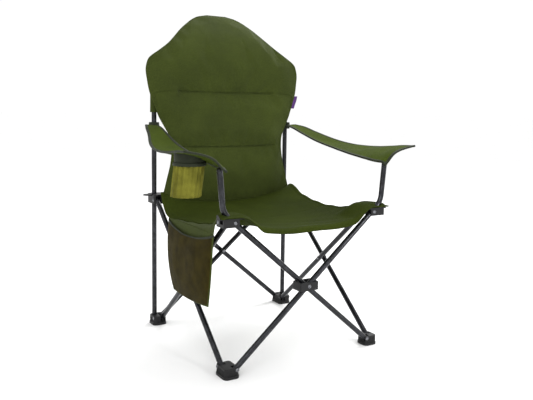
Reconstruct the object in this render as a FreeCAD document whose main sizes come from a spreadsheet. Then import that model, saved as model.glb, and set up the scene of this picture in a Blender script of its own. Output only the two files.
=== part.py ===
import FreeCAD
import Part

import math
import os
import re

import Sketcher
from FreeCAD import Placement, Rotation, Vector

# Folding camp chair, millimetres, +Z up, sitter faces -Y.
# The frame is a square scissor tower: two crossed poles on each of its four faces, so one motion
# folds all of them.  Front, rear, left and right name the faces; a pole is named by its face and
# by the corner that its upper end reaches.

DIMENSIONS = {
    # scissor frame
    "tube_dia": 16.0,
    "tube_wall": 1.2,
    "pin_dia": 6.0,
    "pin_hole_dia": 6.1,
    "pole_pitch": 605.7,
    "pin_span": 460.0,
    "pin_low": 22.0,
    "pole_over": 8.0,
    # distance of each pole's centre plane from the chair's middle
    "front_outer": 267.0,
    "front_inner": 250.0,
    "rear_outer": 268.0,
    "rear_inner": 251.0,
    "side_outer": 253.0,
    "side_inner": 236.0,
    # arm posts, which are the bent upper ends of the front poles
    "post_start": 22.0,
    "post_bend_rad": 50.0,
    "post_bend_deg": 44.0,
    "post_straight": 91.0,
    "post_tip_len": 14.0,
    # uprights
    "upright_side": 253.0,
    "upright_back": 255.0,
    "upright_top": 868.0,
    "upright_bore": 16.16,
    "cap_dia": 18.0,
    "cap_len": 16.0,
    "collar_dia": 27.0,
    "collar_len": 20.0,
    "collar_mid": 656.0,
    # plastic feet and hubs
    "slot_half": 8.4,
    "cheek": 4.0,
    "block_in": 224.0,
    "block_out": 266.5,
    "block_near": 221.5,
    "slot_end": 242.0,
    "foot_top": 29.0,
    "foot_base": 8.0,
    "foot_flare": 2.5,
    "slot_floor": 10.0,
    "hub_low": 12.0,
    "hub_high": 18.0,
    "slot_ceiling": 12.5,
    "tab_reach": 293.0,
    "tab_thick": 4.0,
    "tongue_in": 198.0,
    "tongue_out": 276.0,
    "tongue_thick": 3.0,
    "bridge_in": 240.0,
    "bridge_top": 3.0,
    # rivets
    "head_dia": 11.0,
    "head_thick": 2.2,
    # sleeve round the crossing of the front poles
    "guide_half": 30.5,
    "guide_wall": 3.3,
    "guide_tall": 24.0,
    # fabric
    "seat_half": 247.0,
    "seat_cloth": 4.0,
    "seat_rear_line": 207.0,
    "seat_front_line": 281.0,
    "seat_corner_half": 190.0,
    "seat_corner_line": 190.0,
    "seat_middle": 22.5,
    "seat_low": 382.0,
    "seat_sag": 50.0,
    "back_thick": 14.0,
    "arm_cloth": 4.0,
    "cup_side": 328.0,
    "cup_front": 185.0,
    "cup_top_rad": 42.0,
    "cup_low_rad": 43.0,
    "cup_top": 569.0,
    "cup_tall": 92.0,
    "cup_wall": 2.5,
    "ring_wall": 3.0,
    "ring_tall": 6.0,
    "pocket_in": 267.0,
    "pocket_deep": 28.0,
    "pocket_wall": 3.5,
    "tag_wide": 10.0,
    "tag_thick": 1.6,
    "tag_tall": 44.0,
    "tag_low": 718.0,
    # from the middle of the feet to the middle of the whole chair, along Y
    "origin_shift": 20.0,
}

# the back panel's sections: height, half of its width, front-to-back place of its middle
BACK_ROWS = [
    (426, 240, 208),
    (480, 227, 209),
    (540, 214, 210),
    (590, 210, 213),
    (620, 214, 216),
    (650, 229, 221),
    (690, 250, 226),
    (720, 261, 229),
    (760, 276, 233),
    (800, 284, 236),
    (850, 285, 238),
    (875, 274, 237.5),
    (900, 238, 243),
    (925, 203, 252),
    (950, 174, 267),
    (975, 145, 283),
    (1000, 113, 297),
    (1020, 82, 309),
    (1036, 42, 318),
]

# an arm sling's sections: front-to-back place, inner edge and its height, outer edge and its height
ARM_ROWS = [
    (235, 246, 656, 284, 656),
    (200, 248, 650, 296, 650),
    (150, 252, 638, 310, 637),
    (60, 256, 614, 345, 611),
    (-20, 260, 597, 362, 599),
    (-90, 262, 585, 372, 597),
    (-180, 266, 575, 378, 602),
    (-278, 268, 568, 384, 610),
]

# the hanging pocket's outline: front-to-back place and height
POCKET_OUTLINE = [
    (100, 376),
    (104, 300),
    (92, 200),
    (72, 172),
    (-10, 166),
    (-120, 164),
    (-178, 166),
    (-194, 240),
    (-206, 376),
]

FACE_POLES = {
    "rear_pole_to_right": ("rear_inner", 1, 1),
    "rear_pole_to_left": ("rear_outer", 1, -1),
}
BENT_POLES = {
    "front_pole_to_right": ("front_outer", -1, 1),
    "front_pole_to_left": ("front_inner", -1, -1),
}
SIDE_POLES = {
    "left_pole_to_front": ("side_inner", -1, -1),
    "left_pole_to_rear": ("side_outer", -1, 1),
    "right_pole_to_front": ("side_inner", 1, -1),
    "right_pole_to_rear": ("side_outer", 1, 1),
}

# corner: (side, end, plane of the face pole at the foot, of the side pole at the foot,
#          plane of the face pole at the hub, of the side pole at the hub)
CORNERS = {
    "front_left": (-1, -1, "front_outer", "side_outer", "front_inner", "side_inner"),
    "front_right": (1, -1, "front_inner", "side_outer", "front_outer", "side_inner"),
    "rear_left": (-1, 1, "rear_inner", "side_inner", "rear_outer", "side_outer"),
    "rear_right": (1, 1, "rear_outer", "side_inner", "rear_inner", "side_outer"),
}

doc = FreeCAD.newDocument("camp_chair")
sheet = doc.addObject("Spreadsheet::Sheet", "Sizes")
for row, (alias, number) in enumerate(DIMENSIONS.items(), start=1):
    sheet.set(f"A{row}", alias)
    sheet.set(f"B{row}", str(number))
    sheet.setAlias(f"B{row}", alias)
doc.recompute()

SUB_PARTS = []
WORDS = re.compile(r"\b(" + "|".join(DIMENSIONS) + r")\b")


def linked(text):
    """The expression with every driving dimension read from the sheet."""
    return WORDS.sub(r"Sizes.\1", str(text))


def size(text):
    """The number that an expression of driving dimensions gives."""
    return float(sheet.evalExpression(linked(text)))


def rise():
    """Height from a lower pin to the upper pin of the same pole."""
    return math.sqrt(size("pole_pitch") ** 2 - size("pin_span") ** 2)


def pin_high():
    return size("pin_low") + rise()


def pole_angle():
    return math.degrees(math.acos(size("pin_span / pole_pitch")))


# ---------------------------------------------------------------- sketches and features


def new_body(name):
    body = doc.addObject("PartDesign::Body", name)
    body.Label = name
    SUB_PARTS.append(body)
    return body


def new_sketch(body, role, offset="0"):
    """A sketch on one of the body's own origin planes, moved along that plane's normal."""
    sketch = body.newObject("Sketcher::SketchObject", body.Name + "_sketch")
    plane = next(f for f in body.Origin.OriginFeatures if f.Role == role)
    sketch.AttachmentSupport = [(plane, "")]
    sketch.MapMode = "FlatFace"
    sketch.setExpression(".AttachmentOffset.Base.z", linked(offset))
    return sketch


def bind(sketch, kind, where, text):
    """A dimension of the sketch that follows an expression of driving dimensions."""
    index = sketch.addConstraint(Sketcher.Constraint(kind, *where, size(text)))
    sketch.setExpression(f"Constraints[{index}]", linked(text))


def circle(sketch, across, up, diameter):
    centre = Vector(size(across), size(up), 0)
    shape = Part.Circle(centre, Vector(0, 0, 1), size(diameter) / 2)
    index = sketch.addGeometry(shape, False)
    bind(sketch, "Diameter", (index,), diameter)
    bind(sketch, "DistanceX", (-1, 1, index, 3), across)
    bind(sketch, "DistanceY", (-1, 1, index, 3), up)


def polygon(sketch, corners):
    """A closed outline whose corners are pairs of expressions."""
    points = [Vector(size(across), size(up), 0) for across, up in corners]
    first = sketch.GeometryCount
    count = len(points)
    for k in range(count):
        sketch.addGeometry(Part.LineSegment(points[k], points[(k + 1) % count]), False)
    for k in range(count):
        following = first + (k + 1) % count
        sketch.addConstraint(Sketcher.Constraint("Coincident", first + k, 2, following, 1))
    for k, (across, up) in enumerate(corners):
        bind(sketch, "DistanceX", (-1, 1, first + k, 1), across)
        bind(sketch, "DistanceY", (-1, 1, first + k, 1), up)


def rectangle(sketch, left, right, low, high):
    polygon(sketch, [(left, low), (right, low), (right, high), (left, high)])


def extrude(body, kind, sketch, length, symmetric=False, reverse=False):
    feature = body.newObject("PartDesign::" + kind, body.Name + "_" + kind.lower())
    feature.Profile = sketch
    feature.SideType = "Symmetric" if symmetric else "One side"
    feature.Reversed = reverse
    feature.setExpression("Length", linked(length))
    sketch.Visibility = False
    body.Tip = feature
    return feature


def soften(body, kind, radius, wanted):
    """Fillets or chamfers the edges of the body's tip that the wanted test picks."""
    doc.recompute()
    tip = body.Tip
    names = [f"Edge{k + 1}" for k, edge in enumerate(tip.Shape.Edges) if wanted(edge)]
    feature = body.newObject("PartDesign::" + kind, body.Name + "_" + kind.lower())
    feature.Base = (tip, names)
    if kind == "Fillet":
        feature.Radius = radius
    else:
        feature.Size = radius
    body.Tip = feature


def is_upright_edge(edge, low, high):
    """True for a straight edge along Z that starts and ends near the two heights."""
    box = edge.BoundBox
    flat = box.XLength < 0.01 and box.YLength < 0.01
    return flat and abs(box.ZMin - low) < 0.01 and abs(box.ZMax - high) < 0.01


def is_sole_rim(edge):
    """True for one straight upper edge of a foot's sole, the one nearest the chair's middle."""
    box = edge.BoundBox
    level = box.ZLength < 0.01 and abs(box.ZMin - size("foot_base")) < 0.01
    return level and box.XLength < 0.01 and abs(box.XMin) < size("block_in") - 1


# ---------------------------------------------------------------- tubes


def pole_rotation(along, pin_axis):
    """Turns local Z along the pole and local X along its pins, with local Y on the upper side."""
    upward = along.cross(pin_axis)
    if upward.z < 0:
        pin_axis = pin_axis * -1
        upward = upward * -1
    return Rotation(pin_axis, upward, along, "ZXY")


def pole_place(plane, end, direction, across):
    """Placement of a pole whose lower pin is the local origin.

    across is "face" for the front and rear faces and "side" for the left and right ones.
    """
    angle = math.radians(pole_angle())
    half = size("pin_span") / 2
    if across == "face":
        along = Vector(direction * math.cos(angle), 0, math.sin(angle))
        start = Vector(-direction * half, end * size(plane), size("pin_low"))
        return Placement(start, pole_rotation(along, Vector(0, 1, 0)))
    along = Vector(0, direction * math.cos(angle), math.sin(angle))
    start = Vector(end * size(plane), -direction * half, size("pin_low"))
    return Placement(start, pole_rotation(along, Vector(1, 0, 0)))


def pin_holes(body, heights):
    sketch = new_sketch(body, "YZ_Plane")
    for height in heights:
        circle(sketch, "0", height, "pin_hole_dia")
    extrude(body, "Pocket", sketch, "tube_dia * 2", symmetric=True)


def straight_pole(name):
    body = new_body(name)
    ring = new_sketch(body, "XY_Plane", "-pole_over")
    circle(ring, "0", "0", "tube_dia")
    circle(ring, "0", "0", "tube_dia - 2 * tube_wall")
    extrude(body, "Pad", ring, "pole_pitch + 2 * pole_over")
    pin_holes(body, ["0", "pole_pitch / 2", "pole_pitch"])
    return body


def post_path(body):
    """The bent pole's centre line: the pole, the bend above the hub and the arm post."""
    sketch = new_sketch(body, "YZ_Plane")
    reach = size("pole_pitch + post_start")
    radius = size("post_bend_rad")
    turn = math.radians(size("post_bend_deg"))
    centre = Vector(radius, reach, 0)
    bend_end = centre + Vector(-radius * math.cos(turn), radius * math.sin(turn), 0)
    heading = Vector(math.sin(turn), math.cos(turn), 0)
    top = bend_end + heading * size("post_straight")
    start = Vector(0, size("-pole_over"), 0)
    sketch.addGeometry(Part.LineSegment(start, Vector(0, reach, 0)), False)
    bend = Part.Circle(centre, Vector(0, 0, 1), radius)
    sketch.addGeometry(Part.ArcOfCircle(bend, math.pi - turn, math.pi), False)
    sketch.addGeometry(Part.LineSegment(bend_end, top), False)
    sketch.addConstraint(Sketcher.Constraint("Tangent", 0, 2, 1, 2))
    sketch.addConstraint(Sketcher.Constraint("Tangent", 1, 1, 2, 1))
    bind(sketch, "DistanceX", (-1, 1, 0, 1), "0")
    bind(sketch, "DistanceX", (-1, 1, 0, 2), "0")
    bind(sketch, "DistanceY", (-1, 1, 0, 1), "-pole_over")
    bind(sketch, "DistanceY", (-1, 1, 0, 2), "pole_pitch + post_start")
    bind(sketch, "Radius", (1,), "post_bend_rad")
    bind(sketch, "Distance", (2,), "post_straight")
    return sketch, top, heading


def bent_pole(name):
    body = new_body(name)
    ring = new_sketch(body, "XY_Plane", "-pole_over")
    circle(ring, "0", "0", "tube_dia")
    circle(ring, "0", "0", "tube_dia - 2 * tube_wall")
    path, top, heading = post_path(body)
    pipe = body.newObject("PartDesign::AdditivePipe", name + "_pipe")
    pipe.Profile = ring
    pipe.Spine = (path, ["Edge1", "Edge2", "Edge3"])
    body.Tip = pipe
    pin_holes(body, ["0", "pole_pitch / 2", "pole_pitch"])
    return body, top, heading


def post_tip(name, pole, top, heading):
    """Rounded plastic plug that closes the top of an arm post."""
    body = new_body(name)
    disc = new_sketch(body, "XY_Plane")
    circle(disc, "0", "0", "tube_dia")
    extrude(body, "Pad", disc, "post_tip_len / 2")
    soften(body, "Fillet", 3.0, lambda edge: edge.BoundBox.ZMin > 1)
    stem = new_sketch(body, "XY_Plane")
    circle(stem, "0", "0", "tube_dia - 2 * tube_wall - 0.1")
    extrude(body, "Pad", stem, "post_tip_len / 2", reverse=True)
    turn = Rotation(Vector(0, 0, 1), Vector(0, heading.x, heading.y))
    seat = Placement(Vector(0, top.x, top.y), turn)
    body.Placement = pole.Placement.multiply(seat)


def upright(name, side):
    body = new_body(name)
    ring = new_sketch(body, "XY_Plane", "slot_floor")
    circle(ring, "0", "0", "tube_dia")
    circle(ring, "0", "0", "tube_dia - 2 * tube_wall")
    extrude(body, "Pad", ring, "upright_top - slot_floor")
    body.Placement.Base = Vector(side * size("upright_side"), size("upright_back"), 0)


def upright_cap(name, side):
    """Plastic cap over the top of an upright, with a stem inside the tube."""
    body = new_body(name)
    disc = new_sketch(body, "XY_Plane", "upright_top")
    circle(disc, "0", "0", "cap_dia")
    extrude(body, "Pad", disc, "cap_len / 2")
    soften(body, "Fillet", 3.0, lambda edge: edge.BoundBox.ZMin > size("upright_top") + 1)
    stem = new_sketch(body, "XY_Plane", "upright_top")
    circle(stem, "0", "0", "tube_dia - 2 * tube_wall - 0.1")
    extrude(body, "Pad", stem, "cap_len", reverse=True)
    body.Placement.Base = Vector(side * size("upright_side"), size("upright_back"), 0)


def arm_collar(name, side):
    """Ring clamped on an upright, with a lug at the front that the arm sling's webbing loops round."""
    body = new_body(name)
    ring = new_sketch(body, "XY_Plane", "collar_mid - collar_len / 2")
    circle(ring, "0", "0", "collar_dia")
    circle(ring, "0", "0", "tube_dia + 0.1")
    extrude(body, "Pad", ring, "collar_len")
    lug = new_sketch(body, "XY_Plane", "collar_mid - collar_len / 4")
    rectangle(lug, "-5", "5", "-collar_dia / 2 - 4", "-collar_dia / 2 + 2")
    extrude(body, "Pad", lug, "collar_len / 2")
    body.Placement.Base = Vector(side * size("upright_side"), size("upright_back"), 0)


# ---------------------------------------------------------------- feet and hubs


def signed(side, text):
    return text if side > 0 else f"-({text})"


def slots(body, corner, face_plane, side_plane, role_offset, depth):
    """The two slots that the poles' ends turn in, cut from a plan sketch downwards."""
    side, end = corner
    sketch = new_sketch(body, "XY_Plane", role_offset)
    rectangle(
        sketch,
        signed(side, "block_in - 2"),
        signed(side, "slot_end"),
        signed(end, f"{face_plane} - slot_half"),
        signed(end, f"{face_plane} + slot_half"),
    )
    extrude(body, "Pocket", sketch, depth)
    sketch = new_sketch(body, "XY_Plane", role_offset)
    rectangle(
        sketch,
        signed(side, f"{side_plane} - slot_half"),
        signed(side, f"{side_plane} + slot_half"),
        signed(end, "block_near - 2"),
        signed(end, "slot_end"),
    )
    extrude(body, "Pocket", sketch, depth)


def rivet_holes(body, corner, face_span, side_span, height):
    """Blind holes for the two rivets, each from the outer face inwards."""
    side, end = corner
    near, far = face_span
    sketch = new_sketch(body, "XZ_Plane", signed(-end, near))
    circle(sketch, signed(side, "pin_span / 2"), height, "pin_hole_dia")
    extrude(body, "Pocket", sketch, f"{far} - ({near})", reverse=end < 0)
    near, far = side_span
    sketch = new_sketch(body, "YZ_Plane", signed(side, near))
    circle(sketch, signed(end, "pin_span / 2"), height, "pin_hole_dia")
    extrude(body, "Pocket", sketch, f"{far} - ({near})", reverse=side > 0)


def outer_face(face_plane, has_upright):
    """Distance of a foot's or hub's front or rear face from the chair's middle."""
    plain = f"{face_plane} + slot_half + cheek"
    if has_upright and face_plane == "rear_inner":
        return f"{face_plane} + slot_half + cheek + 4"
    return plain


def face_rivet_span(face_plane, side_plane, outer):
    """Where a front or rear rivet starts and ends; it stays short beside an inner side pole."""
    crowded = side_plane == "side_inner" and face_plane in ("rear_inner", "front_inner")
    start = f"{face_plane} - tube_dia / 2" if crowded else f"{face_plane} - slot_half - 7"
    return start, outer


def side_rivet_span(side_plane):
    start = "block_in" if side_plane == "side_inner" else "side_outer - slot_half - 8"
    return start, "block_out"


def foot(name, corner, face_plane, side_plane):
    """Plastic foot: a flared sole, and a block with slots for two poles and, at the rear, a bore."""
    side, end = corner
    has_upright = end > 0
    outer = outer_face(face_plane, has_upright)
    body = new_body(name)
    block = new_sketch(body, "XY_Plane")
    rectangle(
        block,
        signed(side, "block_in"),
        signed(side, "block_out"),
        signed(end, "block_near"),
        signed(end, outer),
    )
    extrude(body, "Pad", block, "foot_top")
    top = size("foot_top")
    soften(body, "Fillet", 8.0, lambda edge: is_upright_edge(edge, 0, top))
    soften(body, "Fillet", 1.5, lambda edge: edge.BoundBox.ZMin > top - 0.01)
    sole = new_sketch(body, "XY_Plane")
    rectangle(
        sole,
        signed(side, "block_in - foot_flare"),
        signed(side, "block_out + foot_flare"),
        signed(end, "block_near - foot_flare"),
        signed(end, f"{outer} + foot_flare"),
    )
    extrude(body, "Pad", sole, "foot_base")
    soften(body, "Fillet", 13.0, lambda edge: is_upright_edge(edge, 0, size("foot_base")))
    soften(body, "Fillet", 1.5, is_sole_rim)
    slots(body, corner, face_plane, side_plane, "foot_top + 1", "foot_top + 1 - slot_floor")
    if has_upright:
        bore = new_sketch(body, "XY_Plane", "foot_top + 1")
        circle(bore, signed(side, "upright_side"), "upright_back", "tube_dia + 0.1")
        extrude(body, "Pocket", bore, "foot_top + 1 - slot_floor")
    face_span = face_rivet_span(face_plane, side_plane, outer)
    rivet_holes(body, corner, face_span, side_rivet_span(side_plane), "pin_low")
    return face_span


def rear_hub(name, corner, face_plane, side_plane, height):
    """Plastic hub that slides on an upright and holds the tops of two poles."""
    side, end = corner
    outer = outer_face(face_plane, True)
    body = new_body(name)
    block = new_sketch(body, "XY_Plane", f"{height} - hub_low")
    rectangle(
        block,
        signed(side, "block_in"),
        signed(side, "block_out"),
        signed(end, "block_near"),
        signed(end, outer),
    )
    extrude(body, "Pad", block, "hub_low + hub_high")
    low, high = size(height + " - hub_low"), size(height + " + hub_high")
    soften(body, "Fillet", 6.0, lambda edge: is_upright_edge(edge, low, high))
    tab = new_sketch(body, "XY_Plane", f"{height} + hub_high - tab_thick")
    polygon(
        tab,
        [
            (signed(side, "block_out - 2"), "upright_back - 18"),
            (signed(side, "tab_reach - 8"), "upright_back - 16"),
            (signed(side, "tab_reach"), "upright_back - 6"),
            (signed(side, "tab_reach - 4"), "upright_back + 4"),
            (signed(side, "block_out - 2"), "upright_back + 10"),
        ],
    )
    extrude(body, "Pad", tab, "tab_thick")
    slots(
        body,
        corner,
        face_plane,
        side_plane,
        f"{height} + slot_ceiling",
        "hub_low + slot_ceiling + 1",
    )
    bore = new_sketch(body, "XY_Plane", f"{height} + hub_high + 1")
    circle(bore, signed(side, "upright_side"), "upright_back", "upright_bore")
    extrude(body, "Pocket", bore, "hub_low + hub_high + 2")
    face_span = face_rivet_span(face_plane, side_plane, outer)
    rivet_holes(body, corner, face_span, side_rivet_span(side_plane), height)
    return face_span


def front_hub(name, corner, face_plane, side_plane, height):
    """Plastic hub that grips a bent front pole between a cheek and a block.

    The bent pole turns past the block's front, so only a low bridge outside it joins the two.
    """
    side, end = corner
    behind = f"{face_plane} - slot_half"
    ahead = f"{face_plane} + slot_half"
    outer = f"{face_plane} + slot_half + cheek"
    body = new_body(name)
    block = new_sketch(body, "XY_Plane", f"{height} - hub_low")
    rectangle(
        block,
        signed(side, "block_in"),
        signed(side, "block_out"),
        signed(end, "block_near"),
        signed(end, behind),
    )
    extrude(body, "Pad", block, "hub_low + hub_high")
    bridge = new_sketch(body, "XY_Plane", f"{height} - hub_low")
    rectangle(
        bridge,
        signed(side, "bridge_in"),
        signed(side, "block_out"),
        signed(end, f"{behind} - 3"),
        signed(end, outer),
    )
    extrude(body, "Pad", bridge, "hub_low - bridge_top")
    cheek = new_sketch(body, "XY_Plane", f"{height} - hub_low")
    rectangle(
        cheek,
        signed(side, "block_in - 6"),
        signed(side, "block_out"),
        signed(end, ahead),
        signed(end, outer),
    )
    extrude(body, "Pad", cheek, "hub_low + slot_ceiling")
    tongue = new_sketch(body, "XY_Plane", f"{height} + slot_ceiling - tongue_thick")
    polygon(
        tongue,
        [
            (signed(side, "tongue_in"), signed(end, f"{ahead} + 2")),
            (signed(side, "tongue_in + 10"), signed(end, ahead)),
            (signed(side, "tongue_out - 10"), signed(end, ahead)),
            (signed(side, "tongue_out"), signed(end, f"{ahead} + 2")),
            (signed(side, "tongue_out - 8"), signed(end, f"{ahead} + 9.6")),
            (signed(side, "tongue_in + 8"), signed(end, f"{ahead} + 9.6")),
        ],
    )
    extrude(body, "Pad", tongue, "tongue_thick")
    sketch = new_sketch(body, "XY_Plane", f"{height} + slot_ceiling")
    rectangle(
        sketch,
        signed(side, f"{side_plane} - slot_half"),
        signed(side, f"{side_plane} + slot_half"),
        signed(end, "block_near - 2"),
        signed(end, "slot_end"),
    )
    extrude(body, "Pocket", sketch, "hub_low + slot_ceiling + 1")
    face_span = face_rivet_span(face_plane, side_plane, outer)
    rivet_holes(body, corner, face_span, side_rivet_span(side_plane), height)
    return face_span


# ---------------------------------------------------------------- rivets


def rivet_solid(start, finish, two_heads=False):
    """A domed-head rivet from start to finish; the head stands outside finish."""
    axis = finish - start
    axis.normalize()
    radius, thick = size("head_dia") / 2, size("head_thick")
    shaft = Part.makeCylinder(size("pin_dia") / 2, (finish - start).Length, start, axis)
    sphere_radius = (radius**2 + thick**2) / (2 * thick)
    solid = shaft
    ends = [(finish, axis)]
    if two_heads:
        ends.append((start, axis * -1))
    for point, outward in ends:
        centre = point - outward * (sphere_radius - thick)
        ball = Part.makeSphere(sphere_radius, centre)
        disc = Part.makeCylinder(radius, thick + 1, point, outward)
        solid = solid.fuse(ball.common(disc))
    return solid.removeSplitter()


def corner_rivets(name, corner, face_span, side_span, height):
    """The two rivets of a foot or hub: one along Y for the face pole, one along X for the side pole."""
    side, end = corner
    half, level = size("pin_span") / 2, size(height)
    near, far = (end * size(text) for text in face_span)
    face_rivet = rivet_solid(Vector(side * half, near, level), Vector(side * half, far, level))
    near, far = (side * size(text) for text in side_span)
    side_rivet = rivet_solid(Vector(near, end * half, level), Vector(far, end * half, level))
    group = doc.addObject("Part::Feature", name)
    group.Label = name
    group.Shape = Part.makeCompound([face_rivet, side_rivet])
    SUB_PARTS.append(group)


def cross_rivet(name, start, finish):
    """The rivet where two poles cross, with a head at each end."""
    rivet = doc.addObject("Part::Feature", name)
    rivet.Label = name
    rivet.Shape = rivet_solid(start, finish, two_heads=True)
    SUB_PARTS.append(rivet)


def cross_guide(name, height):
    """Sleeve round the front crossing, open at the top and bottom for the poles to turn in."""
    body = new_body(name)
    outside = new_sketch(body, "XY_Plane", f"{height} - guide_tall / 2")
    front, rear = "-(front_outer + slot_half + guide_wall)", "-(front_inner - slot_half - guide_wall)"
    rectangle(outside, "-guide_half", "guide_half", front, rear)
    extrude(body, "Pad", outside, "guide_tall")
    low, high = size(height + " - guide_tall / 2"), size(height + " + guide_tall / 2")
    soften(body, "Fillet", 2.5, lambda edge: is_upright_edge(edge, low, high))
    inside = new_sketch(body, "XY_Plane", f"{height} + guide_tall / 2 + 1")
    rectangle(
        inside,
        "-(guide_half - guide_wall)",
        "guide_half - guide_wall",
        "-(front_outer + slot_half)",
        "-(front_inner - slot_half)",
    )
    extrude(body, "Pocket", inside, "guide_tall + 2")
    hole = new_sketch(body, "XZ_Plane", front.replace("-(", "(") + " + 1")
    circle(hole, "0", height, "pin_hole_dia")
    extrude(body, "Pocket", hole, "front_outer - front_inner + 2 * slot_half + 2 * guide_wall + 2")


# ---------------------------------------------------------------- fabric


def seat_height(place):
    """Height of the seat's upper face: a parabola that is lowest at the middle line."""
    run = size("(seat_rear_line + seat_front_line) / 2 + 8.5")
    return f"seat_low + seat_sag * (({place}) + seat_middle) ^ 2 / {run:.1f} ^ 2"


def seat_half(name, far, end):
    """Half of the seat sheet, from the middle line to the rear seam or to the front hem."""
    body = new_body(name)
    profile = new_sketch(body, "YZ_Plane")
    steps = 5
    places = [f"-seat_middle + ({far} + seat_middle) * {k} / {steps}" for k in range(steps + 1)]
    upper = [(place, seat_height(place)) for place in places]
    lower = [(place, level + " - seat_cloth") for place, level in reversed(upper)]
    polygon(profile, upper + lower)
    extrude(body, "Pad", profile, "2 * seat_half", symmetric=True)
    if end < 0:
        for side in (-1, 1):
            notch = new_sketch(body, "XY_Plane", "pole_pitch")
            rectangle(
                notch,
                signed(side, "seat_corner_half"),
                signed(side, "seat_half + 5"),
                "-(seat_front_line + 5)",
                "-seat_corner_line",
            )
            extrude(body, "Pocket", notch, "pole_pitch")


def section(corners):
    """A closed wire through the corners."""
    return Part.makePolygon(corners + corners[:1])


def back_panel(name):
    """Padded back: narrow behind the arms, winged over the uprights, head part leaning back."""
    half = size("back_thick") / 2
    wires = []
    for height, width, middle in BACK_ROWS:
        corners = [(-width, -half), (width, -half), (width, half), (-width, half)]
        wires.append(section([Vector(x, middle + y, height) for x, y in corners]))
    panel = doc.addObject("Part::Feature", name)
    panel.Label = name
    panel.Shape = Part.makeLoft(wires, True, True)
    SUB_PARTS.append(panel)


def arm_sling(name, side, cup_hole):
    """Arm sling from the collar to the post's tip, narrow at the rear."""
    drop = size("arm_cloth")
    wires = []
    for place, inner, inner_up, outer, outer_up in ARM_ROWS:
        corners = [
            (inner, inner_up - drop),
            (outer, outer_up - drop),
            (outer, outer_up),
            (inner, inner_up),
        ]
        wires.append(section([Vector(side * x, place, z) for x, z in corners]))
    shape = Part.makeLoft(wires, True, True)
    if cup_hole:
        at = Vector(side * size("cup_side"), -size("cup_front"), size("cup_top") - 40)
        shape = shape.cut(Part.makeCylinder(size("cup_top_rad"), 80, at))
    sling = doc.addObject("Part::Feature", name)
    sling.Label = name
    sling.Shape = shape
    SUB_PARTS.append(sling)


def cup_holder(name):
    """Mesh basket under the left arm's hole, open at the top."""
    at = Vector(-size("cup_side"), -size("cup_front"), 0)
    outer = doc.addObject("Part::Cone", name + "_outer")
    outer.setExpression("Radius1", linked("cup_low_rad"))
    outer.setExpression("Radius2", linked("cup_top_rad"))
    outer.setExpression("Height", linked("cup_tall"))
    outer.Placement.Base = at + Vector(0, 0, size("cup_top - cup_tall"))
    inner = doc.addObject("Part::Cone", name + "_inner")
    inner.setExpression("Radius1", linked("cup_low_rad - cup_wall"))
    inner.setExpression("Radius2", linked("cup_top_rad - cup_wall"))
    inner.setExpression("Height", linked("cup_tall"))
    inner.Placement.Base = at + Vector(0, 0, size("cup_top - cup_tall + cup_wall"))
    basket = doc.addObject("Part::Cut", name)
    basket.Label = name
    basket.Base = outer
    basket.Tool = inner
    SUB_PARTS.append(basket)


def cup_ring(name):
    """Elastic trim round the basket's mouth."""
    body = new_body(name)
    ring = new_sketch(body, "XY_Plane", "cup_top - ring_tall")
    circle(ring, "-cup_side", "-cup_front", "2 * (cup_top_rad + 0.6 + ring_wall)")
    circle(ring, "-cup_side", "-cup_front", "2 * (cup_top_rad + 0.6)")
    extrude(body, "Pad", ring, "ring_tall")


def side_pocket(name):
    """Pocket that hangs outside the left poles, open along its top edge."""
    body = new_body(name)
    outline = new_sketch(body, "YZ_Plane", "-pocket_in")
    polygon(outline, [(str(y), str(z)) for y, z in POCKET_OUTLINE])
    extrude(body, "Pad", outline, "pocket_deep", reverse=True)
    middle_y = sum(y for y, _ in POCKET_OUTLINE) / len(POCKET_OUTLINE)
    inside = []
    for y, z in POCKET_OUTLINE:
        inward = "pocket_wall" if y < middle_y else "-pocket_wall"
        raised = "5" if z == POCKET_OUTLINE[0][1] else "pocket_wall * 1.3"
        inside.append((f"{y} + {inward}", f"{z} + {raised}"))
    hollow = new_sketch(body, "YZ_Plane", "-(pocket_in + pocket_wall)")
    polygon(hollow, inside)
    extrude(body, "Pocket", hollow, "pocket_deep - 2 * pocket_wall")


def plain_tag(name):
    """Blank woven tag sewn into the back's right edge."""
    rows = [row for row in BACK_ROWS if 700 < row[0] < 800]
    (low, low_half, low_y), (high, high_half, high_y) = rows[0], rows[1]
    middle = size("tag_low + tag_tall / 2")
    share = (middle - low) / (high - low)
    edge = low_half + share * (high_half - low_half)
    tag = doc.addObject("Part::Box", name)
    tag.Label = name
    tag.setExpression("Length", linked("tag_wide"))
    tag.setExpression("Width", linked("tag_thick"))
    tag.setExpression("Height", linked("tag_tall"))
    place_y = low_y + share * (high_y - low_y)
    tag.Placement.Base = Vector(edge + 9.5, place_y - size("tag_thick") / 2, size("tag_low"))
    SUB_PARTS.append(tag)


# ---------------------------------------------------------------- assembly


def frame_poles():
    for name, (plane, end, direction) in FACE_POLES.items():
        straight_pole(name).Placement = pole_place(plane, end, direction, "face")
    for name, (plane, side, direction) in SIDE_POLES.items():
        straight_pole(name).Placement = pole_place(plane, side, direction, "side")
    for name, (plane, end, direction) in BENT_POLES.items():
        pole, top, heading = bent_pole(name)
        pole.Placement = pole_place(plane, end, direction, "face")
        side = "right" if direction > 0 else "left"
        post_tip("post_tip_" + side, pole, top, heading)


def corners():
    high = f"{pin_high():.4f}"
    for corner, (side, end, foot_face, foot_side, hub_face, hub_side) in CORNERS.items():
        where = (side, end)
        span = foot("foot_" + corner, where, foot_face, foot_side)
        foot_span = side_rivet_span(foot_side)
        corner_rivets("foot_rivets_" + corner, where, span, foot_span, "pin_low")
        make_hub = rear_hub if end > 0 else front_hub
        span = make_hub("hub_" + corner, where, hub_face, hub_side, high)
        corner_rivets("hub_rivets_" + corner, where, span, side_rivet_span(hub_side), high)


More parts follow.
